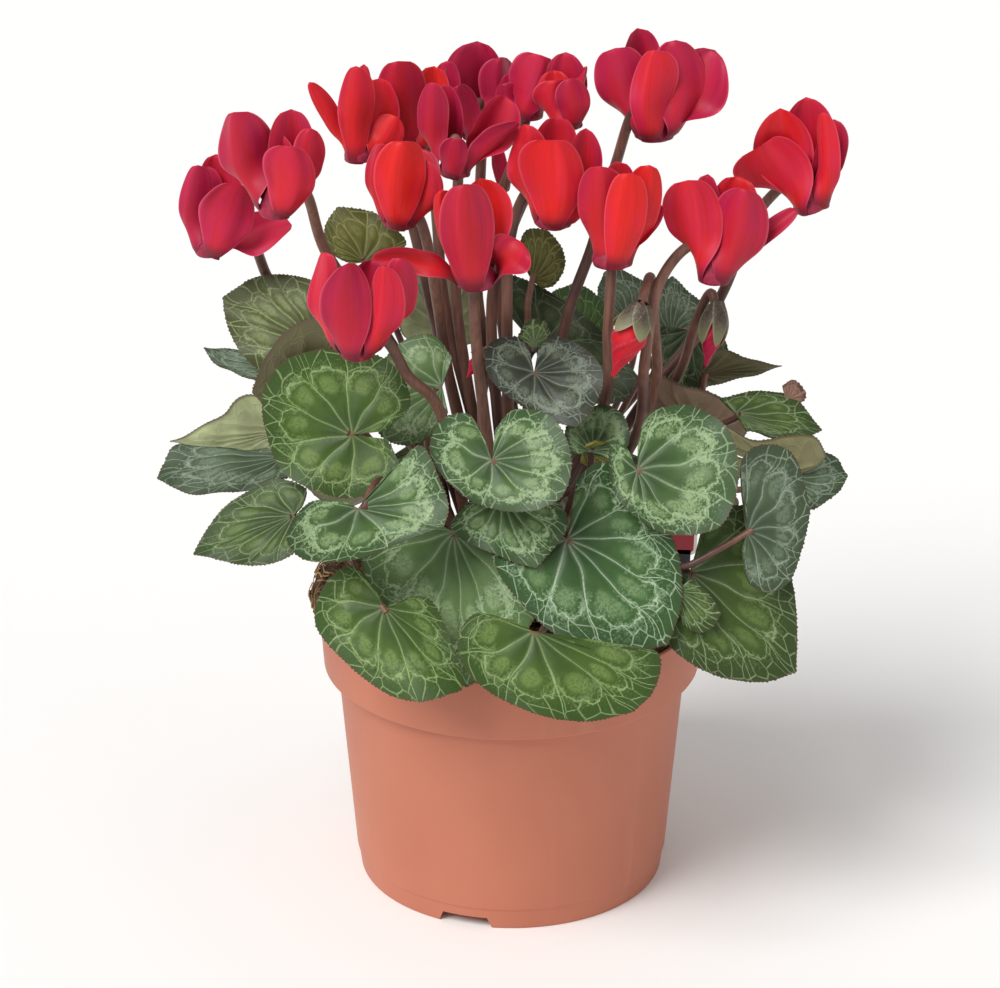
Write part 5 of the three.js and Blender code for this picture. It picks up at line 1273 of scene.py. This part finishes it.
def throat(ring, axes):
    """Mouth and tube of the corolla: a rounded ring at the nose that narrows to the stem end."""
    nose, axis, front, right = axes
    top, top_radius = THROAT_TOP
    outline = np.array([[0.2, 4], [ring - 2.6, 3.2], [ring - 1.9, 0.6], [ring - 1.2, -0.2],
                        [ring - 0.3, -0.1], [ring + 0.3, 0.9], [ring + 0.2, 2.6],
                        [0.55 * ring + 0.45 * top_radius, 6], [top_radius, top],
                        [top_radius - 0.6, top + 1.6], [0.2, top + 2]])
    ways = spokes(turns(THROAT_SIDES), front, right)
    return patch(nose + turned(rounded(outline, 0.8, 3), ways, axis), 1, wrap=True, turn=True)


def sepals(base, axis, front, right, length, wide, far):
    """Five pointed sepals: each wraps round the axis, as far from it as each row's value."""
    done = []
    share = np.linspace(0, 1, len(far))[:, None]
    cross = np.linspace(-1, 1, 9)[None, :]
    half = wide * np.sin(math.pi * (0.25 + 0.75 * share)) ** 0.7
    polar = np.stack(np.broadcast_arrays(cross, share, 0.5), -1)
    for index in range(5):
        angle = 2 * math.pi * (index + 0.3) / 5 + half * cross / far[:, None]
        outward = spokes(angle, front, right)
        middle = base - axis * length * share[..., None]
        grids = [middle + (far[:, None] + gap)[..., None] * outward for gap in (0.25, -0.25)]
        done.append(patch(grids[0], 3, turn=True, polar=polar))
        done.append(patch(grids[1], 3, polar=polar))
        done.append(edge_patch(grids, 3, polar))
    return done


def edge_patch(grids, slot, polar):
    """The strip between the outlines of two grids."""
    rims = [np.concatenate([one[:-1, 0], one[-1, :-1], one[:0:-1, -1], one[0, :0:-1]])
            for one in (*grids, polar)]
    return patch(np.stack(rims[:2]), slot, wrap=True, polar=np.stack([rims[2]] * 2))


def bloom_stem(bloom, axes, foot):
    """The stem through its marks, over the crook and down into the top of the corolla."""
    nose, axis = axes[:2]
    neck = seen(bloom[4][-1])
    crook = 0.85 * (nose + CROOK_RISE * axis) + 0.15 * neck
    points = [[*foot, SOCKET_BOTTOM], [*foot, STEM_STRAIGHT_TOP], *seen(bloom[4]), crook,
              nose + CROOK_END * axis]
    path = stem_curve(points, BLOOM_STEM_STEPS)
    share = np.linspace(0, 1, len(path))
    return tube(path, STEM_RADIUS * (1.05 - 0.18 * share), STEM_SIDES, 2)


def bud_radius(share, radius):
    """Radius along a bud: it swells over its first two fifths, then tapers to the tip."""
    return radius * (0.5 + 0.5 * ease(share, 0, 0.4)) * (1 - 0.86 * ease(share, 0.42, 1.02))


def bud(row, foot):
    """A bud: a spindle of twisted petals under five clasping sepals, hung from its stem."""
    _, marks, top, tip, radius, wrapped, _ = row
    start, end = seen(top), seen(tip)
    axis = unit(start - end)
    front, right = facing(axis)
    length = np.linalg.norm(start - end)
    share = np.linspace(0, 1, 34)[:, None]
    angle = turns(BUD_SIDES)[None, :]
    body = bud_radius(share, radius)
    ridge = 1 + 0.16 * np.abs(np.sin(2.5 * (angle + 4.5 * share))) * ease(share, 0.15, 0.5)
    ways = spokes(angle, front, right)
    grid = start - axis * length * share[..., None] + (body * ridge)[..., None] * ways
    ends = [np.broadcast_to(one, (1, BUD_SIDES, 3)) for one in (start, end)]
    grid = np.concatenate([ends[0], grid, ends[1]])
    share = np.concatenate([share[:1], share, share[-1:]])
    twist = np.sin(2.5 * (angle + 4.5 * share))
    polar = np.stack(np.broadcast_arrays(twist, 0.2 + 0.8 * share, 0.4), -1)
    furled = patch(grid, 0, wrap=True, polar=polar)
    along = np.linspace(0, 1, 14)
    far = 1.17 * bud_radius(wrapped * along, radius) * ease(along, -0.3, 0.25)
    far = far + 0.35 + 0.9 * along ** 5
    leaves = sepals(start + 1.2 * axis, axis, front, right, wrapped * length, 0.78 * radius, far)
    path = stem_curve([[*foot, SOCKET_BOTTOM], [*foot, STEM_STRAIGHT_TOP], *seen(marks),
                       0.9 * start + 0.1 * end], BUD_STEM_STEPS)
    thin = min(STEM_RADIUS, 0.8 * radius)
    share = np.linspace(0, 1, len(path))
    return [furled, *leaves, tube(path, thin * (1.0 - 0.15 * share), STEM_SIDES, 2)]


# Pot, soil, tuber and label

def pot_outline():
    """Profile of the pot from the middle of its floor's underside, over the rim, to the inside."""
    return [
        [0, 0], [PAD_RADIUS, 0], [PAD_RADIUS + PAD_SLOPE, FLOOR_UNDERSIDE],
        [FOOT_RADIUS - FOOT_WIDTH, FLOOR_UNDERSIDE], [FOOT_RADIUS - FOOT_WIDTH, 0], [FOOT_RADIUS, 0],
        [LEDGE_RADIUS - LEDGE_STEP, LEDGE_HEIGHT - LEDGE_STEP], [LEDGE_RADIUS, LEDGE_HEIGHT],
        [BODY_TOP_RADIUS, BODY_TOP_HEIGHT], [COLLAR_RADIUS, COLLAR_HEIGHT], [RIM_RADIUS, POT_HEIGHT],
        [RIM_RADIUS - WALL, POT_HEIGHT], [COLLAR_RADIUS - WALL, COLLAR_HEIGHT + WALL],
        [BODY_TOP_RADIUS - WALL, BODY_TOP_HEIGHT + WALL], [LEDGE_RADIUS - WALL - 1, FLOOR_TOP],
        [PAD_RADIUS + PAD_SLOPE - 1, FLOOR_TOP], [PAD_RADIUS - 1, FLOOR_THICKNESS],
        [0, FLOOR_THICKNESS],
    ]


def notch_cutter(degrees):
    """A wedge under the foot ring, narrower at its top, pointing out at an angle."""
    half, slope = NOTCH_WIDTH / 2, NOTCH_HEIGHT / 2
    section = np.array([[-half, -1], [half, -1], [half - slope, NOTCH_HEIGHT],
                        [slope - half, NOTCH_HEIGHT]])
    angle = math.radians(degrees)
    out = np.array([math.cos(angle), math.sin(angle), 0.0])
    beside = np.array([-math.sin(angle), math.cos(angle), 0.0])
    ring = section[:, :1] * beside + section[:, 1:] * np.array([0.0, 0.0, 1.0])
    ends = [ring + out * far for far in (FOOT_RADIUS - 6, FOOT_RADIUS + 6)]
    middle = [np.broadcast_to(one.mean(0), one.shape) for one in ends]
    return patch(np.stack([middle[0], *ends, middle[1]]), wrap=True)


def drain_cutter(index):
    """A plug through the floor at one drain hole."""
    angle = 2 * math.pi * (index + 0.5) / DRAIN_COUNT
    foot = np.array([DRAIN_RING * math.cos(angle), DRAIN_RING * math.sin(angle), FLOOR_UNDERSIDE - 2])
    return tube([foot, foot + [0, 0, 3], foot + [0, 0, FLOOR_THICKNESS + 4]], DRAIN_RADIUS, 32)


def cut_out(piece, patches):
    """Cuts closed patches out of a piece with an exact Boolean, then removes the cutter."""
    cutter = put_mesh(piece.name + "_cutter", patches, [])
    cut = piece.modifiers.new("cut", "BOOLEAN")
    cut.operation = "DIFFERENCE"
    cut.solver = "EXACT"
    cut.object = cutter
    graph = bpy.context.evaluated_depsgraph_get()
    mesh = bpy.data.meshes.new_from_object(piece.evaluated_get(graph))
    piece.modifiers.clear()
    piece.data = mesh
    bpy.data.objects.remove(cutter)
    mesh.set_sharp_from_angle(angle=math.radians(POT_SHARP))


def proud(angle):
    """How far the root ball stands proud: a bell curve round its left side."""
    away = np.degrees(angle) % 360 - PROUD_SIDE
    return np.exp(-(away / PROUD_SPAN) ** 2)


def soil_point(angle, share):
    """Top of the root ball: from the pot's rim, share 0, over its shoulder to the tuber, share 1."""
    clear = WALL + WALL_CLEARANCE
    rings = np.array([
        [RIM_RADIUS - clear - 0.6, POT_HEIGHT - 1, 0, 0],
        [RIM_RADIUS - clear - 1.1, POT_HEIGHT + 0.6, PROUD_REACH, 0],
        [RIM_RADIUS - clear - 3, POT_HEIGHT + 3, PROUD_REACH, 4],
        [RIM_RADIUS - clear - 9, POT_HEIGHT + 5, PROUD_REACH, 7],
        [TUBER_RADIUS + 6, ROOT_TOP + 3, 0, 1],
        [TUBER_RADIUS - 3, ROOT_TOP + 1, 0, 0],
    ])
    steps = np.array([0, 0.08, 0.22, 0.42, 0.85, 1.0])
    far, high, reach, rise = (np.interp(share, steps, rings[:, index]) for index in range(4))
    bell = proud(angle)
    radius, height = far + reach * bell, high + rise * bell
    return np.stack([radius * np.cos(angle), radius * np.sin(angle), height], -1)


def soil(settings):
    """The root ball: a plain plug in the pot under a crumbly top with lumps a few millimetres wide."""
    angle = turns(SOIL_SIDES)[None, :]
    share = np.linspace(0, 1, 46)[:, None]
    top = soil_point(*np.broadcast_arrays(angle, share))
    crumbs = lumps(top, 9, 3, 4) + 0.6 * np.abs(lumps(top, 4, 5, 2))
    up = unit(np.stack(np.broadcast_arrays(np.cos(angle), np.sin(angle), 1.2 + 0 * share), -1))
    top = top + (settings.soil_lumps / MM * crumbs * ease(share, 0.01, 0.1))[..., None] * up
    clear = WALL + WALL_CLEARANCE
    low = [[0, FLOOR_THICKNESS + FLOOR_CLEARANCE], [PAD_RADIUS - 2, FLOOR_THICKNESS + FLOOR_CLEARANCE],
           [PAD_RADIUS, FLOOR_TOP + FLOOR_CLEARANCE],
           [LEDGE_RADIUS - clear - 1, FLOOR_TOP + FLOOR_CLEARANCE],
           [BODY_TOP_RADIUS - clear, BODY_TOP_HEIGHT + clear],
           [COLLAR_RADIUS - clear, COLLAR_HEIGHT + clear], [RIM_RADIUS - clear - 0.6, POT_HEIGHT - 1]]
    plug = lathe(low, SOIL_SIDES)
    inner = np.stack([top[-1], np.broadcast_to([0.0, 0.0, ROOT_TOP + 1.0], top[-1].shape)])
    return [plug, patch(top, wrap=True), patch(inner, wrap=True)]


def fibres(settings):
    """Coir strands over the top of the root ball: short curves a little above it, seeded."""
    draw = np.random.default_rng(FIBRE_SEED)
    done = []
    for _ in range(settings.fibre_count):
        angle = draw.normal(math.radians(PROUD_SIDE), 1.1)
        share = draw.uniform(0.02, 0.75)
        turn = draw.uniform(0, 2 * math.pi) + np.cumsum(draw.normal(0, 0.35, FIBRE_POINTS))
        step = draw.uniform(1.2, 3.2)
        angles = angle + np.cumsum(np.cos(turn)) * step / 60
        shares = np.clip(share + np.cumsum(np.sin(turn)) * step / 45, 0.0, 0.95)
        path = soil_point(angles, shares)
        wander = np.abs(np.cumsum(draw.normal(0, 0.35, FIBRE_POINTS)))
        path[:, 2] += 0.8 + 0.5 * settings.soil_lumps / MM + wander
        path += unit(path * [1, 1, 0]) * draw.uniform(0.2, 1.2)
        done.append(tube(path, draw.uniform(0.16, 0.34) * np.linspace(1.1, 0.5, FIBRE_POINTS), 5, 1))
    return done


def tuber(settings):
    """The tuber's corky crown: a low dome with lumps that fade out at its foot."""
    outline = [[0, ROOT_TOP], [TUBER_RADIUS - 1, ROOT_TOP], [TUBER_RADIUS + 1, ROOT_TOP + 4],
               [TUBER_RADIUS, TUBER_TOP - 2], [TUBER_RADIUS - 2, TUBER_TOP],
               [TUBER_RADIUS / 2, TUBER_TOP], [0, TUBER_TOP]]
    whole = lathe(evenly(rounded(outline, 3, 6), 60), 120)
    points = whole["points"]
    lift = lumps(points, 11, 8, 3) * settings.tuber_lumps / MM
    lift = lift * ease(points[:, 2], ROOT_TOP + 1, ROOT_TOP + 5)
    centre = np.array([0.0, 0.0, ROOT_TOP])
    whole["points"] = points + unit(points - centre + 1e-6) * lift[:, None]
    return [whole]


def label():
    """The label: a rounded card on a flat stake, both leaning a little."""
    half = np.array([LABEL_WIDTH / 2, LABEL_HEIGHT / 2])
    turn = np.linspace(0, 2 * math.pi, LABEL_POINTS, endpoint=False) + 0.01
    outer = np.stack([np.cos(turn), np.sin(turn)], -1)
    foot = 2 * STAKE_LENGTH / 3 - 2
    rows = []
    inside = []
    for inset, side in LABEL_ROWS:
        smaller = np.maximum(half - inset, 0)
        bend = np.minimum(max(LABEL_CORNER - inset, 0.2), smaller)
        flat_points = np.sign(outer) * (smaller - bend) + bend * outer
        rows.append(np.stack([flat_points[:, 0], np.full(LABEL_POINTS, -side * LABEL_THICKNESS),
                              flat_points[:, 1] + foot + half[1]], -1))
        inside.append(np.full(LABEL_POINTS, inset))
    grid = np.stack(rows)
    flat = np.stack([grid[..., 0], grid[..., 2], np.stack(inside)], -1)
    wide = STAKE_WIDTH / 2
    thick = LABEL_THICKNESS / 2
    low, high = -STAKE_LENGTH / 3, STAKE_LENGTH * 2 / 3
    section = np.array([[-wide, -thick], [wide, -thick], [wide, thick], [-wide, thick]])
    heights = [(0.0, low), (0.12, low + 0.5), (1.0, low + 8), (1.0, high)]
    stake = [np.stack([section[:, 0] * scale, section[:, 1], np.full(4, height)], -1)
             for scale, height in heights]
    stake.append(np.broadcast_to([0.0, 0.0, high], (4, 3)))
    patches = [patch(grid, 0, wrap=True, turn=True, flat=flat), patch(np.stack(stake), 1, wrap=True)]
    lean, rise = math.cos(LABEL_LEAN), math.sin(LABEL_LEAN)
    tilt = np.array([[lean, 0, -rise], [0, 1, 0], [rise, 0, lean]])
    for one in patches:
        one["points"] = one["points"] @ tilt + np.array(LABEL_PLACE, float)
    return patches


# Settings, operators and panel

class PotSettings(PropertyGroup):
    """Pot, soil and tuber."""

    colour: FloatVectorProperty(name="Plastic", description="Colour of the pot", subtype="COLOR",
                                default=linear("#bd7258")[:3], min=0, max=1)
    soil_lumps: FloatProperty(name="Soil lumps", description="Height of the crumbs on the soil",
                              default=0.0011, min=0, max=0.004, unit="LENGTH")
    tuber_lumps: FloatProperty(name="Tuber lumps", description="Height of the lumps on the tuber",
                               default=0.0007, min=0, max=0.003, unit="LENGTH")
    fibre_count: IntProperty(name="Fibres", description="Coir strands that show", default=170, min=0,
                             max=400)
    sides: IntProperty(name="Sides", description="Sides of the turned pot", default=216, min=48, max=360)


class LeafSettings(PropertyGroup):
    """Blades of the leaves."""

    thickness: FloatProperty(name="Thickness", description="Thickness of a blade", default=0.0008,
                             min=0.0004, max=0.002, unit="LENGTH")
    tooth_pitch: FloatProperty(name="Tooth pitch", description="Distance between two teeth of the margin",
                               default=0.0014, min=0.001, max=0.006, unit="LENGTH")
    tooth_height: FloatProperty(name="Tooth height", description="How far a tooth stands out",
                                default=0.00045, min=0, max=0.002, unit="LENGTH")
    vein_sway: FloatProperty(name="Vein sway", description="How far a main vein wanders at the margin",
                             default=0.003, min=0, max=0.006, unit="LENGTH")
    lump_height: FloatProperty(name="Lump height", description="Height of the slow lumps of a blade",
                               default=0.0005, min=0, max=0.002, unit="LENGTH")
    vein_depth: FloatProperty(name="Vein depth", description="Depth of the main veins' grooves",
                              default=0.00028, min=0, max=0.001, unit="LENGTH")


class BloomSettings(PropertyGroup):
    """Petals of the blooms."""

    petal_thickness: FloatProperty(name="Petal thickness", description="Thickness of a petal",
                                   default=0.0007, min=0.0003, max=0.002, unit="LENGTH")
    petal_curl: FloatProperty(name="Petal curl", description="Inward curl of the sides, in half widths",
                              default=0.26, min=0, max=1, subtype="FACTOR")
    petal_crease: FloatProperty(name="Petal crease", description="Depth of the crease, in half widths",
                                default=0.5, min=0, max=1, subtype="FACTOR")
    petal_upturn: FloatProperty(name="Petal upturn", description="Upturn of the rim, in half widths",
                                default=0.16, min=0, max=1, subtype="FACTOR")
    petal_twist: FloatProperty(name="Petal twist", description="Most that a petal turns, in degrees",
                               default=34, min=0, max=90)
    nose_roll: FloatProperty(name="Nose roll", description="Radius of the fold at the mouth of a bloom",
                             default=0.0013, min=0.0005, max=0.003, unit="LENGTH")


class StageSettings(PropertyGroup):
    """Floor and light."""

    floor: FloatVectorProperty(name="Floor", description="Colour of the floor", subtype="COLOR",
                               default=linear("#f7f6f4")[:3], min=0, max=1)
    sun: FloatProperty(name="Key light", description="Strength of the key light", default=2.6, min=0)
    sky: FloatProperty(name="Room light", description="Strength of the even light", default=0.5, min=0)


class CYCLAMEN_OT_stage(Operator):
    """Camera, floor and lights"""

    bl_idname = "cyclamen.stage"
    bl_label = "Stage"

    def execute(self, context):
        settings = context.scene.cyclamen_stage
        camera = bpy.data.objects.new("camera", bpy.data.cameras.new("camera"))
        camera.data.sensor_width = SENSOR
        camera.data.lens = CAMERA_FOCUS * SENSOR / PICTURE[0]
        camera.location = (CAMERA_PLACE * MM).tolist()
        camera.rotation_euler = (math.pi / 2 - CAMERA_ELEVATION, 0, 0)
        context.scene.collection.objects.link(camera)
        context.scene.camera = camera
        ground = floor(settings)
        for name, turn, strength, spread in (("key", KEY_TURN, settings.sun, KEY_SPREAD),
                                             ("fill", FILL_TURN, FILL_STRENGTH, FILL_SPREAD)):
            lamp = bpy.data.lights.new(name, "SUN")
            lamp.energy = strength
            lamp.angle = math.radians(spread)
            light = bpy.data.objects.new(name, lamp)
            light.rotation_euler = [math.radians(value) for value in turn]
            context.scene.collection.objects.link(light)
        world = bpy.data.worlds.new("studio")
        world.use_nodes = True
        world.node_tree.nodes["Background"].inputs["Color"].default_value = (1, 1, 1, 1)
        world.node_tree.nodes["Background"].inputs["Strength"].default_value = settings.sky
        context.scene.world = world
        context.scene.view_settings.view_transform = "Standard"
        context.scene.view_settings.look = "None"
        return {"FINISHED"}


def floor(settings):
    """A plain round floor, level with the foot of the pot."""
    angle = turns(GROUND_SIDES)[None, :]
    radius = np.array(GROUND_RINGS, float)[:, None]
    grid = np.stack(np.broadcast_arrays(radius * np.cos(angle), radius * np.sin(angle), -GROUND_DROP), -1)
    material, tree, surface = material_named("painted_floor")
    place = add(tree, "TexCoord", out=3)
    cloud = noise(tree, place, 3.0, 2.0)
    colour = mixed(tree, stepped(tree, cloud, 0.3, 0.7, (0.0, 0.3)), (*settings.floor, 1.0), "#f4f2ef")
    add_surface(tree, surface, {"Base Color": colour, "Roughness": 0.8})
    return put_mesh("floor", [patch(grid, wrap=True, turn=True)], [material])


class CYCLAMEN_OT_pot(Operator):
    """Pot with its foot notches and drain holes"""

    bl_idname = "cyclamen.pot"
    bl_label = "Pot"

    def execute(self, context):
        settings = context.scene.cyclamen_pot
        outline = rounded(pot_outline(), 0.7, 4)
        piece = put_piece("nursery_pot", [lathe(outline, settings.sides)],
                          [pot_material(settings.colour)], "pot", sharp=POT_SHARP)
        cutters = [notch_cutter(NOTCH_FIRST + 360 * index / NOTCH_COUNT) for index in range(NOTCH_COUNT)]
        cutters += [drain_cutter(index) for index in range(DRAIN_COUNT)]
        cut_out(piece, cutters)
        return {"FINISHED"}


class CYCLAMEN_OT_soil(Operator):
    """Root ball with its fibres, and the tuber's crown"""

    bl_idname = "cyclamen.soil"
    bl_label = "Soil and tuber"

    def execute(self, context):
        settings = context.scene.cyclamen_pot
        put_piece("peat_root_ball", soil(settings) + fibres(settings),
                  [soil_material(), fibre_material()], "root_ball", sharp=70)
        put_piece("corky_tuber", tuber(settings), [cork_material()], "tuber")
        return {"FINISHED"}


class CYCLAMEN_OT_label(Operator):
    """Plant label on its stake"""

    bl_idname = "cyclamen.label"
    bl_label = "Label"

    def execute(self, context):
        put_piece("card_label", label(), [card_material(), stake_material()],
                  "plant_label")
        return {"FINISHED"}


class CYCLAMEN_OT_leaves(Operator):
    """Every leaf with its petiole and folds"""

    bl_idname = "cyclamen.leaves"
    bl_label = "Leaves"

    def execute(self, context):
        settings = context.scene.cyclamen_leaves
        feet = leaf_feet()
        looks = {leaf[-1] for leaf in (*LEAVES, *FOLDS, *BACK_LEAVES)}
        skins = {look: (blade_material(look), back_material(look)) for look in sorted(looks)}
        stem = stem_material()
        for index, leaf in enumerate(LEAVES):
            name, join, face, tip, left, right, shape, look = leaf
            plane = plane_through(seen(join), face, tip)
            patches = blade(plane, margin_of(plane, tip, left, right, shape), shape, settings, index + 1)
            materials = [*skins[look], stem]
            for fold in [row for row in FOLDS if row[0] == name]:
                bent = fold_plane(fold, plane, shape)
                halves = margin_of(bent, *fold[3:7])
                patches += blade(bent, halves, fold[6], settings, index + FOLD_SEED, (3, 4))
                materials += skins[fold[7]]
            patches.append(petiole(plane, feet[index], PETIOLE_MARKS.get(name), settings))
            put_piece("cyclamen_" + name, patches, materials, name, sharp=50)
        for index, leaf in enumerate(BACK_LEAVES):
            name, join, face, to_tip, length, wide, shape, look = leaf
            normal = unit(face)
            forward = square_to(np.array(to_tip, float), normal)
            plane = {"join": np.array(join, float), "normal": normal, "forward": forward,
                     "side": np.cross(forward, normal), "length": length}
            halves = [np.array([[0, length], *[[sign * wide * x, length * y] for x, y in HEART]])
                      for sign in (-1, 1)]
            patches = blade(plane, halves, shape, settings, BACK_SEED + index)
            patches.append(petiole(plane, feet[len(LEAVES) + index], None, settings))
            put_piece("cyclamen_" + name, patches, [*skins[look], stem], name, sharp=50)
        return {"FINISHED"}


class CYCLAMEN_OT_blooms(Operator):
    """Every bloom and bud with its stem"""

    bl_idname = "cyclamen.blooms"
    bl_label = "Blooms and buds"

    def execute(self, context):
        settings = context.scene.cyclamen_blooms
        feet = stem_feet()
        mouth, stem, sepal = throat_material(), stem_material(), sepal_material()
        far = SEPAL_FAR + SEPAL_SPREAD * np.linspace(0, 1, 9) ** 1.5
        for index, bloom in enumerate(BLOOMS):
            axes = bloom_axes(bloom)
            nose, axis, front, right = axes
            patches = [petal(bloom, axes, row, settings, PETAL_SEEDS * index + turn)
                       for turn, row in enumerate(bloom[5])]
            patches.append(throat(bloom[3], axes))
            patches.append(bloom_stem(bloom, axes, feet[index]))
            patches += sepals(nose + SEPAL_START * axis, axis, front, right, SEPAL_LENGTH,
                              SEPAL_HALF_WIDTH, far)
            skin = petal_material("cyclamen_petal_" + bloom[0][-2:], bloom[6])
            put_piece("cyclamen_" + bloom[0], patches, [skin, mouth, stem, sepal], bloom[0],
                      sharp=60)
        for index, row in enumerate(BUDS):
            skin = petal_material("cyclamen_bud_petal_" + row[0][-2:], row[6])
            put_piece("cyclamen_" + row[0], bud(row, feet[len(BLOOMS) + index]),
                      [skin, mouth, stem, sepal], row[0], sharp=60)
        return {"FINISHED"}


class CYCLAMEN_PT_panel(Panel):
    """Steps of the potted cyclamen"""

    bl_label = "Potted cyclamen"
    bl_space_type = "VIEW_3D"
    bl_region_type = "UI"
    bl_category = "Cyclamen"

    def draw(self, context):
        scene = context.scene
        for group in (scene.cyclamen_stage, scene.cyclamen_pot, scene.cyclamen_leaves,
                      scene.cyclamen_blooms):
            box = self.layout.box()
            for key in group.__annotations__:
                box.prop(group, key)
        for operator in OPERATORS:
            self.layout.operator(operator.bl_idname)


SETTINGS = {
    "cyclamen_stage": StageSettings,
    "cyclamen_pot": PotSettings,
    "cyclamen_leaves": LeafSettings,
    "cyclamen_blooms": BloomSettings,
}
OPERATORS = (CYCLAMEN_OT_stage, CYCLAMEN_OT_pot, CYCLAMEN_OT_soil, CYCLAMEN_OT_label, CYCLAMEN_OT_leaves,
             CYCLAMEN_OT_blooms)


def register():
    """Registers the settings, the operators and the panel."""
    for name, group in SETTINGS.items():
        bpy.utils.register_class(group)
        setattr(bpy.types.Scene, name, PointerProperty(type=group))
    for one in (*OPERATORS, CYCLAMEN_PT_panel):
        bpy.utils.register_class(one)


def unregister():
    """Takes the panel, the operators and the settings away again."""
    for one in (CYCLAMEN_PT_panel, *reversed(OPERATORS)):
        bpy.utils.unregister_class(one)
    for name, group in SETTINGS.items():
        delattr(bpy.types.Scene, name)
        bpy.utils.unregister_class(group)


def main():
    """Builds the stage and every piece."""
    register()
    bpy.ops.cyclamen.stage()
    bpy.ops.cyclamen.pot()
    bpy.ops.cyclamen.soil()
    bpy.ops.cyclamen.label()
    bpy.ops.cyclamen.leaves()
    bpy.ops.cyclamen.blooms()


if __name__ == "__main__":
    main()
